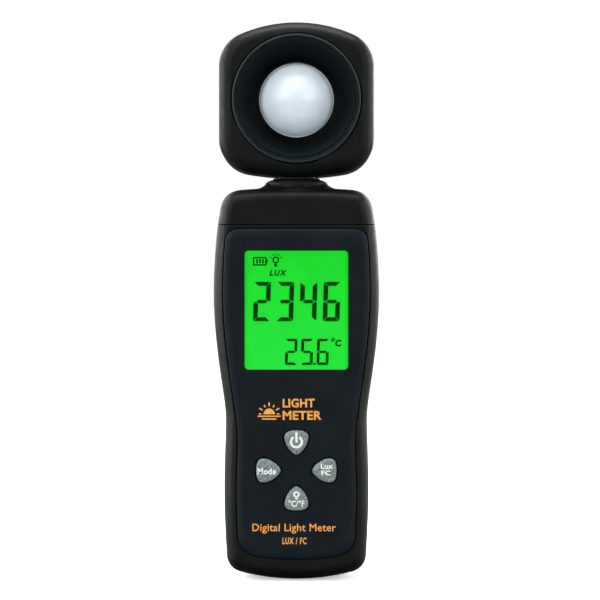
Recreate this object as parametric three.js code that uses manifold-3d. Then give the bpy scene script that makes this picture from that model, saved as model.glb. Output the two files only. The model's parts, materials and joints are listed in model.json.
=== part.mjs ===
// Hand-held light meter: a slim case with a backlit display and four keys, under a sensor head that
// swivels on a hollow stem. Millimetres, +Z up, front towards -Y, origin under the middle of the foot.
import * as THREE from "three";
import { mergeVertices } from "three/addons/utils/BufferGeometryUtils.js";
import Module from "manifold-3d";

const wasm = await Module();
wasm.setup();

// ---------------------------------------------------------------- driving dimensions

const WALL = 2; // moulded walls
const GAP = 0.3; // between neighbouring pieces
const JOIN = 0.3; // how far a rib sinks into the wall that it grows from

// Depths of the case, from the front face back.
const PANEL_FRONT = -13.5; // printed face panel
const SHELL_FRONT = -12.7; // front shell's own face, under the panel's edge
const PANEL_BACK = -11.8;
const PANEL_FLOOR = -11.6; // bottom of the recess that holds the panel
const SHELL_INSIDE = -10; // inner face of the front wall
const BACK = 14.5; // flat back that the meter lies on
const BACK_INSIDE = BACK - WALL;
const SPLIT = 0; // plane where front and rear shells meet

// Half widths and heights of the waisted outline.
const FOOT_HALF = 21.6;
const LOWER_HALF = 22.35;
const WAIST_HALF = 21.85;
const UPPER_HALF = 25.61;
const SEAM = 109.4; // joint between the shells and the top cap
const SHOULDER = 120.9; // top of the cap
const BOSS_TOP = 124; // top of the collar round the stem
const CASE_FRONT_ROUND = [4, 7]; // rounded edges: across the outline, then along Y
const CASE_BACK_ROUND = [3.4, 6];

// Swivelling head.
const HEAD_MIDDLE = 148.2;
const HEAD_HALF = 24;
const HEAD_LOW = 124.3;
const HEAD_HIGH = 172.1;
const HEAD_DEPTH = 11; // half its depth
const HEAD_CORNER = 10.7;
const HEAD_CORNERS_LOW = 136.1; // heights of the middles of its round corners
const HEAD_CORNERS_HIGH = 158.6;
const HEAD_FRONT_ROUND = [4.2, 5];
const HEAD_BACK_ROUND = [3.2, 4.5];
const RING_RADIUS = 19.8;
const DOME_RADIUS = 11.25;
const STEM_RADIUS = 5.8;
const STEM_BORE = 3.2;
const BEARING_RADIUS = 6.1;
const SWIVEL_TRAVEL = 270; // degrees
const STOP_ANGLE = -90; // where the stop block stands
const STOP_SPREAD = 31.5; // to each side of that

// Display.
const WINDOW_FRONT = -12.9;
const WINDOW_BACK = -11.9;
const GLASS_DEPTHS = [-11.6, -9.8];
const FRAME_DEPTHS = [-9.6, -6.5]; // the frame and the rubber strip between glass and board
const VIEW_HALF = 15.87; // half the width of the view through the panel
const VIEW_LOW = 64.9;
const VIEW_HIGH = 101.3;
const VIEW_CORNER = 1.2;
const GLASS_HALF = 17;
const GLASS_LOW = 63.2;
const GLASS_HIGH = 102.8;
const GLASS_CORNER = 0.5;

// Keys, in a cross around one point.
const KEY_MIDDLE = 34;
const KEY_REACH = 8.67; // from that point to each key
const KEY_TOP = -14.5;
const KEY_CLEARANCE = 0.45;

// Board behind the display and the keys.
const BOARD_FRONT = -6.3;
const BOARD_BACK = -4.7;
const BOARD_HALF = 17;
const BOARD_LOW = 8.5;
const BOARD_HIGH = 104;

// Three AAA cells, side by side in a tray behind the door.
const CELL_RADIUS = 5.25;
const CELL_LENGTH = 43.7;
const NUB_LENGTH = 0.8;
const CELL_PITCH = 10.8;
const CELL_Y = 6.9;
const TRAY_HALF = 16.3;
const TRAY_LOW = 9.6;
const TRAY_HIGH = 60.6;
const TRAY_FLOOR = 1.4;
const DOOR_HALF = 16.9;
const DOOR_LOW = 8;
const DOOR_HIGH = 61.5;
const DOOR_CORNER = 2.9;
const DOOR_LEDGE = 12.4; // the step in the rear shell that the door lies on
const DOOR_TAB_X = 5.4;
const CELL_LOW = 15.1; // foot of a cell that stands on its spring
const CELL_LOW_TURNED = 10.6; // tip of the cell that hangs the other way up

const CASE_SCREWS = [
  [-19.8, 66],
  [19.8, 66],
  [-19.8, 101],
  [19.8, 101],
];
const PILLAR_RADIUS = 2.1; // screw pillars in the front shell
const PILLAR_HOLE = 1.2;
const POST_RADIUS = 1.8; // posts under the board
const POST_HOLE = 0.95;
const TUBE_RADIUS = 2.9; // screw tubes in the rear shell
const SEAT_RADIUS = 2.1; // their wells, as wide as a screw's head needs
const SEAT_FLOOR = 3.5;
const SHANK_HOLE = 1.3;
const BOARD_SCREWS = [
  [-14.5, 13.5],
  [14.5, 13.5],
  [-14.5, 54],
  [14.5, 54],
];
const HEAD_SCREWS = [
  [-17, HEAD_MIDDLE - 16.5],
  [17, HEAD_MIDDLE - 16.5],
  [-17, HEAD_MIDDLE + 16.5],
  [17, HEAD_MIDDLE + 16.5],
];
const HEAD_PILLAR_RADIUS = 2;
const HEAD_PILLAR_HOLE = 1.15;
const HEAD_TUBE_RADIUS = 2.7;
const HEAD_SEAT_RADIUS = 2;
const HEAD_SEAT_FLOOR = 4.9;
const HEAD_SHANK_HOLE = 1.25;
const SENSOR_SCREW_X = 14.5;

const CURVE_STEPS = 4; // straight pieces in each curve of an outline
const ROUND_STEPS = 3; // facets across a rounded edge
const TURN_STEPS = 28; // facets round a turned piece
const FINE_STEPS = 20; // facets round one that is less than a finger wide
const SMALL_STEPS = 8; // facets round a screw or a hole

// ---------------------------------------------------------------- materials

function plastic(color, roughness) {
  return new THREE.MeshStandardMaterial({ color, roughness, metalness: 0 });
}

function metal(color, roughness) {
  return new THREE.MeshStandardMaterial({ color, roughness, metalness: 1 });
}

const casePlastic = plastic(0x1d2221, 0.55);
const panelPlastic = plastic(0x202628, 0.5);
const ringPlastic = plastic(0x141617, 0.6);
const domePlastic = plastic(0xe6ebf0, 0.45);
const clearWindow = plastic(0xe8f4ec, 0.05);
clearWindow.transparent = true;
clearWindow.opacity = 0.3;
const displayGreen = plastic(0x1ee232, 0.3);
const whitePlastic = plastic(0xe4e4e0, 0.5);
const keyPlastic = plastic(0x8c9998, 0.4);
const siliconeRubber = plastic(0x55605e, 0.7);
const blackRubber = plastic(0x101010, 0.8);
const boardGreen = plastic(0x14502c, 0.4);
const chipBlack = plastic(0x16161a, 0.5);
const steel = metal(0xb8bbc0, 0.35);
const nickel = metal(0xcac8c0, 0.3);
const filterGlass = plastic(0x8fb58c, 0.1);
const cellJacket = plastic(0x2f6d3c, 0.35);
const leadJacket = plastic(0x303030, 0.6);

// ---------------------------------------------------------------- solids

// A closed geometry as a solid that can be joined and cut.
function solid(geometry) {
  const bare = geometry.index ? geometry.toNonIndexed() : geometry.clone();
  bare.deleteAttribute("normal");
  bare.deleteAttribute("uv");
  const merged = mergeVertices(bare, 1e-4);
  return new wasm.Manifold(
    new wasm.Mesh({
      numProp: 3,
      vertProperties: merged.attributes.position.array,
      triVerts: new Uint32Array(merged.index.array),
    }),
  );
}

function cut(body, ...tools) {
  return tools.flat().reduce((left, tool) => left.subtract(tool), body);
}

function join(body, ...others) {
  return others.flat().reduce((whole, other) => whole.add(other), body);
}

function box(x0, x1, y0, y1, z0, z1) {
  const geometry = new THREE.BoxGeometry(x1 - x0, y1 - y0, z1 - z0);
  return solid(geometry.translate((x0 + x1) / 2, (y0 + y1) / 2, (z0 + z1) / 2));
}

// An outline in the XZ plane, as thick as from y = front to y = back.
function plate(shape, front, back) {
  const geometry = new THREE.ExtrudeGeometry(shape, {
    depth: back - front,
    bevelEnabled: false,
    curveSegments: CURVE_STEPS,
  });
  return solid(geometry.rotateX(Math.PI / 2).translate(0, back, 0));
}

// The same with both edges rounded: `across` in the outline's plane and `deep` along Y.
function pillow(shape, front, back, across, deep, steps = ROUND_STEPS) {
  const geometry = new THREE.ExtrudeGeometry(shape, {
    depth: back - front - 2 * deep,
    bevelEnabled: true,
    bevelSize: across,
    bevelOffset: -across,
    bevelThickness: deep,
    bevelSegments: steps,
    curveSegments: CURVE_STEPS,
  });
  return solid(geometry.rotateX(Math.PI / 2).translate(0, back - deep, 0));
}

function pairs(profile) {
  return profile.map(([radius, along]) => new THREE.Vector2(radius, along));
}

// A profile of [radius, y] turned about a line along Y through (x, z).
function turnedY(profile, x, z, steps = TURN_STEPS) {
  return solid(new THREE.LatheGeometry(pairs(profile), steps).translate(x, 0, z));
}

// A profile of [radius, z] turned about the Z axis.
function turnedZ(profile, x = 0, y = 0, steps = TURN_STEPS) {
  const geometry = new THREE.LatheGeometry(pairs(profile), steps);
  return solid(geometry.rotateX(Math.PI / 2).translate(x, y, 0));
}

function rodY(radius, front, back, x, z, steps = SMALL_STEPS) {
  return turnedY([[0, front], [radius, front], [radius, back], [0, back]], x, z, steps);
}

function rodZ(radius, low, high, x = 0, y = 0, steps = TURN_STEPS) {
  return turnedZ([[0, low], [radius, low], [radius, high], [0, high]], x, y, steps);
}

// A round bar that follows a curve.
function bar(curve, radius, sides, steps) {
  const rim = Array.from({ length: sides }, (_, i) => {
    const angle = (2 * Math.PI * i) / sides;
    return new THREE.Vector2(radius * Math.cos(angle), radius * Math.sin(angle));
  });
  const options = { steps, bevelEnabled: false, extrudePath: curve };
  return solid(new THREE.ExtrudeGeometry(new THREE.Shape(rim), options));
}

function mesh(name, made, material) {
  const data = made.getMesh();
  const geometry = new THREE.BufferGeometry();
  geometry.setAttribute("position", new THREE.BufferAttribute(data.vertProperties, 3));
  geometry.setIndex(new THREE.BufferAttribute(data.triVerts, 1));
  geometry.computeVertexNormals();
  const piece = new THREE.Mesh(geometry, material);
  piece.name = name;
  return piece;
}

// ---------------------------------------------------------------- outlines

// The points of a path, without those where one arc starts on the end of another.
function distinct(path) {
  const points = path.getPoints(CURVE_STEPS);
  return points.filter((point, i) => i === 0 || point.distanceTo(points[i - 1]) > 0.01);
}

// The right half of an outline, from the middle of the foot up, with its mirror image added.
function mirrored(right) {
  const left = right.slice(1, -1).reverse();
  return [...right, ...left.map((p) => new THREE.Vector2(-p.x, p.y))];
}

// Every point moved inwards by a distance; a negative distance moves them out.
function inset(points, distance) {
  return points.map((point, i) => {
    const before = points.at(i - 1);
    const after = points[(i + 1) % points.length];
    const along = after.clone().sub(before).normalize();
    return new THREE.Vector2(point.x - along.y * distance, point.y + along.x * distance);
  });
}

function caseOutline() {
  const side = new THREE.Path();
  side.moveTo(0, 0);
  side.bezierCurveTo(6, 0, 11.5, 0.7, 17.5, 2.25);
  side.bezierCurveTo(19.8, 2.85, FOOT_HALF, 5, FOOT_HALF, 7.6);
  side.bezierCurveTo(21.9, 12, LOWER_HALF, 20, LOWER_HALF, 28);
  side.bezierCurveTo(LOWER_HALF, 36, WAIST_HALF, 43, WAIST_HALF, 50);
  side.bezierCurveTo(WAIST_HALF, 56, UPPER_HALF, 71, UPPER_HALF, 88);
  side.bezierCurveTo(UPPER_HALF, 95.5, 25.15, 102.5, 24.35, SEAM);
  side.lineTo(23.6, 114);
  side.bezierCurveTo(23.1, 117.6, 21.3, 119.8, 17.3, 120.3);
  side.bezierCurveTo(12, 120.75, 6, SHOULDER, 0, SHOULDER);
  return mirrored(distinct(side));
}

function panelOutline() {
  const side = new THREE.Path();
  side.moveTo(0, 6.7);
  side.bezierCurveTo(5, 6.7, 8, 7, 11.5, 7.5);
  side.bezierCurveTo(15.6, 8.1, 17.95, 10.4, 17.95, 14);
  side.bezierCurveTo(18.1, 18, 18.3, 22, 18.3, 27);
  side.bezierCurveTo(18.3, 34, 17.9, 37, 17.9, 43);
  side.bezierCurveTo(17.9, 52, 22.43, 70, 22.43, 88.5);
  side.bezierCurveTo(22.43, 95, 22.15, 100, 21.8, 103.9);
  side.bezierCurveTo(21.6, 106.6, 20.2, 107.9, 17.8, 107.9);
  side.quadraticCurveTo(9, 107.97, 0, 108);
  return mirrored(distinct(side));
}

// Radius of the arc over the end of a form, which runs smoothly into its round corners.
function crownRadius(across, rise, corner) {
  return (across ** 2 + rise ** 2 - corner ** 2) / (2 * (rise - corner));
}

function headOutline() {
  const side = new THREE.Path();
  const across = HEAD_HALF - HEAD_CORNER;
  const topRadius = crownRadius(across, HEAD_HIGH - HEAD_CORNERS_HIGH, HEAD_CORNER);
  const footRadius = crownRadius(across, HEAD_CORNERS_LOW - HEAD_LOW, HEAD_CORNER);
  const topMiddle = HEAD_HIGH - topRadius;
  const footMiddle = HEAD_LOW + footRadius;
  const topLean = Math.atan2(HEAD_CORNERS_HIGH - topMiddle, across);
  const footLean = Math.atan2(HEAD_CORNERS_LOW - footMiddle, across);
  side.absarc(0, footMiddle, footRadius, -Math.PI / 2, footLean, false);
  side.absarc(across, HEAD_CORNERS_LOW, HEAD_CORNER, footLean, 0, false);
  side.absarc(across, HEAD_CORNERS_HIGH, HEAD_CORNER, 0, topLean, false);
  side.absarc(0, topMiddle, topRadius, topLean, Math.PI / 2, false);
  return mirrored(distinct(side));
}

function roundedRect(half, low, high, radius) {
  const shape = new THREE.Shape();
  const x = half - radius;
  shape.absarc(x, low + radius, radius, -Math.PI / 2, 0, false);
  shape.absarc(x, high - radius, radius, 0, Math.PI / 2, false);
  shape.absarc(-x, high - radius, radius, Math.PI / 2, Math.PI, false);
  shape.absarc(-x, low + radius, radius, Math.PI, 1.5 * Math.PI, false);
  return shape;
}

// The display glass's own outline, grown by a distance.
function glassPlate(grow, corner) {
  return roundedRect(GLASS_HALF + grow, GLASS_LOW - grow, GLASS_HIGH + grow, corner);
}

// A key is shaped like a plectrum whose tip points at the middle of the cross. `turn` is 0 at the top.
function keyOutline(turn, grow = 0) {
  const side = new THREE.Path();
  side.moveTo(0, -3.85);
  side.bezierCurveTo(1.3, -3.85, 3.68, -0.8, 3.68, 1.5);
  side.bezierCurveTo(3.68, 3.1, 2.2, 3.6, 0, 3.6);
  const middle = new THREE.Vector2(0, 0);
  const points = inset(mirrored(distinct(side)), -grow);
  for (const point of points) {
    point.y += KEY_REACH;
    point.rotateAround(middle, turn);
    point.y += KEY_MIDDLE;
  }
  return new THREE.Shape(points);
}

const caseEdge = caseOutline();
const panelEdge = panelOutline();
const headEdge = headOutline();

const KEYS = [
  { name: "power_key", turn: 0 },
  { name: "mode_key", turn: Math.PI / 2 },
  { name: "lamp_key", turn: Math.PI },
  { name: "unit_key", turn: -Math.PI / 2 },
];

// ---------------------------------------------------------------- case

const FAR = 60; // beyond the meter on every side

// A form whose front edge is rounded in one way and whose back edge in another.
function roundedForm(edge, front, back, frontRound, backRound) {
  const shape = new THREE.Shape(edge);
  const frontHalf = pillow(shape, front, FAR / 2, ...frontRound);
  const backHalf = pillow(shape, -FAR / 2, back, ...backRound);
  return frontHalf.intersect(backHalf);
}

// The inside of the case, made smaller all round by a distance.
function caseInside(distance) {
  const shape = new THREE.Shape(inset(caseEdge, WALL + distance));
  return plate(shape, SHELL_INSIDE + distance, BACK_INSIDE - distance);
}

const caseForm = roundedForm(caseEdge, SHELL_FRONT, BACK, CASE_FRONT_ROUND, CASE_BACK_ROUND);
const caseHollow = caseInside(0);

function band(low, high) {
  return box(-FAR, FAR, -FAR, FAR, low, high);
}

// A groove inside the shells holds the bead round the cap's skirt when they close on it.
const BEAD = [106.9, 107.7];
const groove = caseInside(-0.5).intersect(band(BEAD[0] - GAP, BEAD[1] + GAP));

function frontShell() {
  const half = box(-FAR, FAR, -FAR, SPLIT - GAP / 2, -1, SEAM - GAP / 2);
  const root = SHELL_INSIDE - JOIN;
  const pillars = CASE_SCREWS.map(([x, z]) => rodY(PILLAR_RADIUS, root, SPLIT - GAP / 2, x, z));
  const posts = BOARD_SCREWS.map(([x, z]) => rodY(POST_RADIUS, root, BOARD_FRONT - GAP / 2, x, z));
  const pillarHoles = CASE_SCREWS.map(([x, z]) => rodY(PILLAR_HOLE, -8, SPLIT + 1, x, z));
  const postHoles = BOARD_SCREWS.map(([x, z]) => rodY(POST_HOLE, -9.6, BOARD_FRONT + 1, x, z));
  const recess = plate(new THREE.Shape(inset(panelEdge, -GAP)), -FAR, PANEL_FLOOR);
  const view = plate(glassPlate(GAP, GLASS_CORNER + 0.1), -FAR, SHELL_INSIDE + 1);
  const keyHoles = KEYS.map(({ turn }) => plate(keyOutline(turn, KEY_CLEARANCE), -FAR, SHELL_INSIDE + 1));
  const walls = cut(caseForm.intersect(half), caseHollow, groove);
  return cut(join(walls, pillars, posts), pillarHoles, postHoles, recess, view, keyHoles);
}

// A hollow for the fingertip above the door, cut by a ball that stands mostly outside the back.
const SCOOP_BALL = [9, 24, 16];
const SCOOP_OUT = 7.6;
const SCOOP_Z = 64.4;

function rearShell() {
  const half = box(-FAR, FAR, SPLIT + GAP / 2, FAR, -1, SEAM - GAP / 2);
  const walls = cut(caseForm, caseHollow, groove);
  const tray = box(-18.2, 18.2, 0.4, BACK_INSIDE + 0.1, 7, 62.7);
  const tubes = CASE_SCREWS.map(([x, z]) => rodY(TUBE_RADIUS, SPLIT, BACK_INSIDE + 0.1, x, z));
  const seats = CASE_SCREWS.map(([x, z]) => rodY(SEAT_RADIUS, SEAT_FLOOR, FAR, x, z));
  const holes = CASE_SCREWS.map(([x, z]) => rodY(SHANK_HOLE, -1, FAR, x, z));
  const bay = box(-TRAY_HALF, TRAY_HALF, TRAY_FLOOR, FAR, TRAY_LOW, TRAY_HIGH);
  const doorHole = roundedRect(DOOR_HALF + GAP, DOOR_LOW - GAP, DOOR_HIGH + GAP, DOOR_CORNER + GAP);
  const recess = plate(doorHole, DOOR_LEDGE, FAR);
  const tabSlots = [-1, 1].map((s) =>
    box(s * DOOR_TAB_X - 1.5, s * DOOR_TAB_X + 1.5, 10.4, BACK_INSIDE + 0.1, 5.5, TRAY_LOW + 0.1),
  );
  const tailSlots = [
    box(-12.7, -8.9, -1, TRAY_FLOOR + 1, 59.4, TRAY_HIGH),
    box(8.9, 12.7, -1, TRAY_FLOOR + 1, TRAY_LOW, 10.7),
  ];
  const scoop = solid(new THREE.SphereGeometry(...SCOOP_BALL).translate(0, BACK + SCOOP_OUT, SCOOP_Z));
  const whole = join(walls, tray, tubes).intersect(caseForm).intersect(half);
  return cut(whole, seats, holes, bay, recess, tabSlots, tailSlots, scoop);
}

// Sector of a ring about the Z axis, `spread` degrees to each side of `middle`.
function sector(inner, outer, low, high, middle, spread) {
  const from = THREE.MathUtils.degToRad(middle - spread);
  const to = THREE.MathUtils.degToRad(middle + spread);
  const shape = new THREE.Shape();
  shape.absarc(0, 0, outer, from, to, false);
  shape.absarc(0, 0, inner, to, from, true);
  const geometry = new THREE.ExtrudeGeometry(shape, {
    depth: high - low,
    bevelEnabled: false,
    curveSegments: 8,
  });
  return solid(geometry.translate(0, 0, low));
}

// The flare round the foot of the boss: narrower from front to back, where the cap is rounded.
function bossFoot() {
  const profile = [
    [0, SHOULDER - 1.5],
    [13, SHOULDER - 1.5],
    [13, SHOULDER - 0.1],
    [11.4, SHOULDER + 0.2],
    [10.2, SHOULDER + 0.85],
    [9.2, SHOULDER + 1.7],
    [0, SHOULDER + 1.7],
  ];
  const geometry = new THREE.LatheGeometry(pairs(profile), TURN_STEPS);
  return solid(geometry.rotateX(Math.PI / 2).scale(1, 0.78, 1));
}

function topCap() {
  const above = box(-FAR, FAR, -FAR, FAR, SEAM + GAP / 2, FAR * 3);
  const skirt = caseInside(GAP).intersect(band(106.3, SEAM + 1));
  const bead = caseInside(-0.2).intersect(band(...BEAD));
  const ledge = caseForm.intersect(band(SEAM + GAP / 2, SEAM + 1.6));
  const spigot = cut(join(skirt, bead, ledge), caseInside(1.5));
  const bearing = join(rodZ(10.2, 115, 117.5), rodZ(8.3, 115, SHOULDER - 1));
  const boss = turnedZ([
    [0, SHOULDER - 1.5],
    [9.2, SHOULDER - 1.5],
    [9.2, 122.5],
    [8.8, 123.15],
    [7.3, 123.6],
    [7.3, BOSS_TOP],
    [0, BOSS_TOP],
  ]);
  const stop = sector(7.9, 10.2, 112, 115.3, STOP_ANGLE, STOP_SPREAD);
  const walls = cut(caseForm, caseHollow).intersect(above);
  const whole = join(walls, spigot, bearing, bossFoot(), boss, stop);
  return cut(whole, rodZ(BEARING_RADIUS, 110, BOSS_TOP + 1));
}

function facePanel() {
  const body = pillow(new THREE.Shape(panelEdge), PANEL_FRONT, PANEL_BACK + 1, 2.4, 0.9, 2);
  const trim = box(-FAR, FAR, -FAR, PANEL_BACK, -1, FAR * 2);
  const view = plate(roundedRect(VIEW_HALF, VIEW_LOW, VIEW_HIGH, VIEW_CORNER), -FAR, 0);
  const pocket = plate(glassPlate(0.4, GLASS_CORNER + 0.1), WINDOW_FRONT - 0.1, 0);
  const keyHoles = KEYS.map(({ turn }) => plate(keyOutline(turn, KEY_CLEARANCE), -FAR, 0));
  return cut(body.intersect(trim), view, pocket, keyHoles);
}

// ---------------------------------------------------------------- display, board and keys

function displayWindow() {
  return plate(glassPlate(0.1, GLASS_CORNER), WINDOW_FRONT, WINDOW_BACK);
}

function displayGlass() {
  return plate(glassPlate(0, GLASS_CORNER - 0.1), ...GLASS_DEPTHS);
}

function displayFrame() {
  const outer = plate(glassPlate(GAP, GLASS_CORNER + 0.1), ...FRAME_DEPTHS);
  return cut(outer, box(-16, 16, -FAR, 0, 64.3, 99.6), box(-15.3, 15.3, -FAR, 0, 100.3, 102.5));
}

function backlightPanel() {
  return box(-15.7, 15.7, -9.4, -6.8, 64.6, 99.3);
}

function contactStrip() {
  return box(-15, 15, ...FRAME_DEPTHS, 100.6, 102.2);
}

function mainBoard() {
  const board = plate(roundedRect(BOARD_HALF, BOARD_LOW, BOARD_HIGH, 1), BOARD_FRONT, BOARD_BACK);
  return cut(board, BOARD_SCREWS.map(([x, z]) => rodY(1.1, -FAR, 0, x, z)));
}

function keypadMat() {
  const web = plate(roundedRect(13.5, 19.8, 48.2, 2), -7.5, -6.6);
  const domes = KEYS.map(({ turn }) => {
    const x = -Math.sin(turn) * KEY_REACH;
    const z = KEY_MIDDLE + Math.cos(turn) * KEY_REACH;
    return turnedY([[0, -8], [1.4, -8], [2.2, -7.3], [0, -7.3]], x, z, SMALL_STEPS);
  });
  return join(web, domes);
}

function key(turn) {
  const cap = pillow(keyOutline(turn), KEY_TOP, -9.2, 0.5, 0.4, 2);
  const flange = plate(keyOutline(turn, 1.1), -9.7, -8.9);
  return join(cap, flange);
}

// ---------------------------------------------------------------- battery bay

// `up` is 1 where the cell's nub points up and -1 where it points down.
function cell(x, low, up) {
  const length = CELL_LENGTH;
  const profile = [
    [0, 0],
    [CELL_RADIUS - 0.5, 0],
    [CELL_RADIUS, 0.5],
    [CELL_RADIUS, length - 0.5],
    [CELL_RADIUS - 0.5, length],
    [1.9, length],
    [1.9, length + NUB_LENGTH],
    [0, length + NUB_LENGTH],
  ];
  const whole = length + NUB_LENGTH;
  const placed = profile.map(([radius, z]) => [radius, low + (up > 0 ? z : whole - z)]);
  return turnedZ(up > 0 ? placed : placed.reverse(), x, CELL_Y, FINE_STEPS);
}

class ConeSpring extends THREE.Curve {
  constructor(x, from, to) {
    super();
    Object.assign(this, { x, from, to, turns: 3.5, wide: 2.9, narrow: 1.9 });
  }

  getPoint(t) {
    const angle = 2 * Math.PI * this.turns * t;
    const radius = THREE.MathUtils.lerp(this.wide, this.narrow, t);
    const z = THREE.MathUtils.lerp(this.from, this.to, t);
    return new THREE.Vector3(this.x + radius * Math.cos(angle), CELL_Y + radius * Math.sin(angle), z);
  }
}

function coneSpring(x, from, to) {
  return bar(new ConeSpring(x, from, to), 0.35, 5, 28);
}

const PLATE_FRONT = 3;
const PLATE_BACK = 9.6;
const PLATE_LOW = [9.8, 10.3];
const PLATE_HIGH = [59.9, 60.4];

function contactPlate(x0, x1, [low, high]) {
  return box(x0, x1, PLATE_FRONT, PLATE_BACK, low, high);
}

function positiveContact() {
  const tail = box(-12.3, -9.3, BOARD_BACK + 0.2, PLATE_FRONT + 1, ...PLATE_HIGH);
  return join(contactPlate(-14.4, -7.2, PLATE_HIGH), tail);
}

function negativeContact() {
  const tail = box(9.3, 12.3, BOARD_BACK + 0.2, PLATE_FRONT + 1, ...PLATE_LOW);
  return join(contactPlate(7.4, 14.4, PLATE_LOW), tail, coneSpring(CELL_PITCH, 10.2, 14.4));
}

function lowBridge() {
  return join(contactPlate(-14.4, 3.6, PLATE_LOW), coneSpring(-CELL_PITCH, 10.2, 14.4));
}

function highBridge() {
  return join(contactPlate(-3.6, 14.4, PLATE_HIGH), coneSpring(0, 60, 55.8));
}

function batteryDoor() {
  const panel = plate(roundedRect(DOOR_HALF, DOOR_LOW, DOOR_HIGH, DOOR_CORNER), BACK_INSIDE, BACK);
  const tabs = [-1, 1].map((s) => {
    const x0 = s * DOOR_TAB_X - 1.2;
    const x1 = s * DOOR_TAB_X + 1.2;
    return join(box(x0, x1, 11.3, BACK_INSIDE + JOIN, 8.2, 9.4), box(x0, x1, 11.3, 12.1, 6, 9.4));
  });
  const tongueSlots = [-1, 1].map((s) => box(s * 6.4 - 0.4, s * 6.4 + 0.4, 0, FAR, 53, FAR * 2));
  const grip = box(-5, 5, BACK - 0.6, FAR, 54.6, 60);
  const ridges = [55.6, 57.3, 59].map((z) => box(-4.4, 4.4, BACK - 0.8, BACK - 0.1, z - 0.35, z + 0.35));
  const snap = box(-3, 3, 13, 13.6, DOOR_HIGH - 0.2, DOOR_HIGH + 0.2);
  return join(cut(join(panel, tabs), tongueSlots, grip), ridges, snap);
}

// ---------------------------------------------------------------- sensor head

const headForm = roundedForm(headEdge, -HEAD_DEPTH, HEAD_DEPTH, HEAD_FRONT_ROUND, HEAD_BACK_ROUND);
const headHollow = plate(new THREE.Shape(inset(headEdge, WALL)), WALL - HEAD_DEPTH, HEAD_DEPTH - WALL);
const stemHole = rodZ(BEARING_RADIUS, HEAD_LOW - 2, HEAD_LOW + 4);
const stemRibs = [-1, 1].map((s) => box(s * 8 - 0.7, s * 8 + 0.7, -8, 8, HEAD_LOW + 1.5, HEAD_LOW + 4.4));

function headFrontShell() {
  const half = box(-FAR, FAR, -FAR, -GAP / 2, 0, FAR * 3);
  const inside = WALL - HEAD_DEPTH;
  const pillars = HEAD_SCREWS.map(([x, z]) => rodY(HEAD_PILLAR_RADIUS, inside - JOIN, -GAP / 2, x, z));
  const holes = HEAD_SCREWS.map(([x, z]) => rodY(HEAD_PILLAR_HOLE, -6, 1, x, z));
  const mouth = rodY(RING_RADIUS + 0.5, -FAR, 0, 0, HEAD_MIDDLE, TURN_STEPS);
  const walls = cut(headForm.intersect(half), headHollow);
  const whole = join(walls, pillars, stemRibs).intersect(headForm).intersect(half);
  return cut(whole, holes, mouth, stemHole);
}

function headRearShell() {
  const half = box(-FAR, FAR, GAP / 2, FAR, 0, FAR * 3);
  const inside = HEAD_DEPTH - WALL;
  const tubes = HEAD_SCREWS.map(([x, z]) => rodY(HEAD_TUBE_RADIUS, 0, inside + JOIN, x, z));
  const posts = [-1, 1].map((s) => {
    return rodY(POST_RADIUS, 3.4, inside + JOIN, s * SENSOR_SCREW_X, HEAD_MIDDLE);
  });
  const seats = HEAD_SCREWS.map(([x, z]) => rodY(HEAD_SEAT_RADIUS, HEAD_SEAT_FLOOR, FAR, x, z));
  const holes = HEAD_SCREWS.map(([x, z]) => rodY(HEAD_SHANK_HOLE, -1, FAR, x, z));
  const postHoles = [-1, 1].map((s) => rodY(POST_HOLE, 0, 8, s * SENSOR_SCREW_X, HEAD_MIDDLE));
  const walls = cut(headForm, headHollow);
  const whole = join(walls, tubes, posts, stemRibs).intersect(headForm).intersect(half);
  return cut(whole, seats, holes, postHoles, stemHole);
}

// A dark bowl round the dome. Its flange is cut flat below, to clear the head of the stem.
function baffleRing() {
  const ring = turnedY(
    [
      [11.6, -3.5],
      [18.4, -3.5],
      [18.4, -6.9],
      [21.2, -6.9],
      [21.2, -8.7],
      [RING_RADIUS, -8.7],
      [RING_RADIUS, -11.5],
      [RING_RADIUS - 0.35, -11.8],
      [18, -11.5],
      [17.2, -10.8],
      [15.4, -7.8],
      [12.6, -6],
      [11.6, -5.8],
      [11.6, -3.5],
    ].reverse(),
    0,
    HEAD_MIDDLE,
    TURN_STEPS,
  );
  return cut(ring, box(-FAR, FAR, -8.75, 0, 0, 129.3));
}

function diffuserDome() {
  const skin = 1.2;
  const height = 8.9;
  const base = -3.4;
  const outer = (DOME_RADIUS ** 2 + height ** 2) / (2 * height);
  const middle = base - height + outer;
  const arc = (radius, from, to, steps) =>
    Array.from({ length: steps + 1 }, (_, i) => {
      const angle = THREE.MathUtils.lerp(from, to, i / steps);
      return [radius * Math.sin(angle), middle - radius * Math.cos(angle)];
    });
  const edge = Math.asin(DOME_RADIUS / outer);
  const outside = arc(outer, 0, edge, 6);
  const inside = arc(outer - skin, 1.32, 0, 4);
  const profile = [...outside, [12.9, base], [12.9, -2.4], [inside[0][0], -2.4], ...inside];
  return turnedY(profile, 0, HEAD_MIDDLE);
}

function colorFilter() {
  return rodY(12.4, -2.1, -1.5, 0, HEAD_MIDDLE);
}

// The sleeve that clamps filter, dome and bowl against the front of the head.
function sensorHolder() {
  return turnedY([[10.2, -1.2], [12.5, -1.2], [12.5, 1.8], [10.2, 1.8], [10.2, -1.2]], 0, HEAD_MIDDLE);
}

function photodiode() {
  const can = [[0, -0.9], [3.4, -0.9], [4.2, -0.4], [4.2, 1], [4.6, 1], [4.6, 1.8], [0, 1.8]];
  return turnedY(can, 0, HEAD_MIDDLE, FINE_STEPS);
}

function sensorBoard() {
  const holes = [-1, 1].map((s) => rodY(1, 0, 5, s * SENSOR_SCREW_X, HEAD_MIDDLE));
  return cut(rodY(16.6, 2, 3.2, 0, HEAD_MIDDLE, TURN_STEPS), holes);
}

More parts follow.
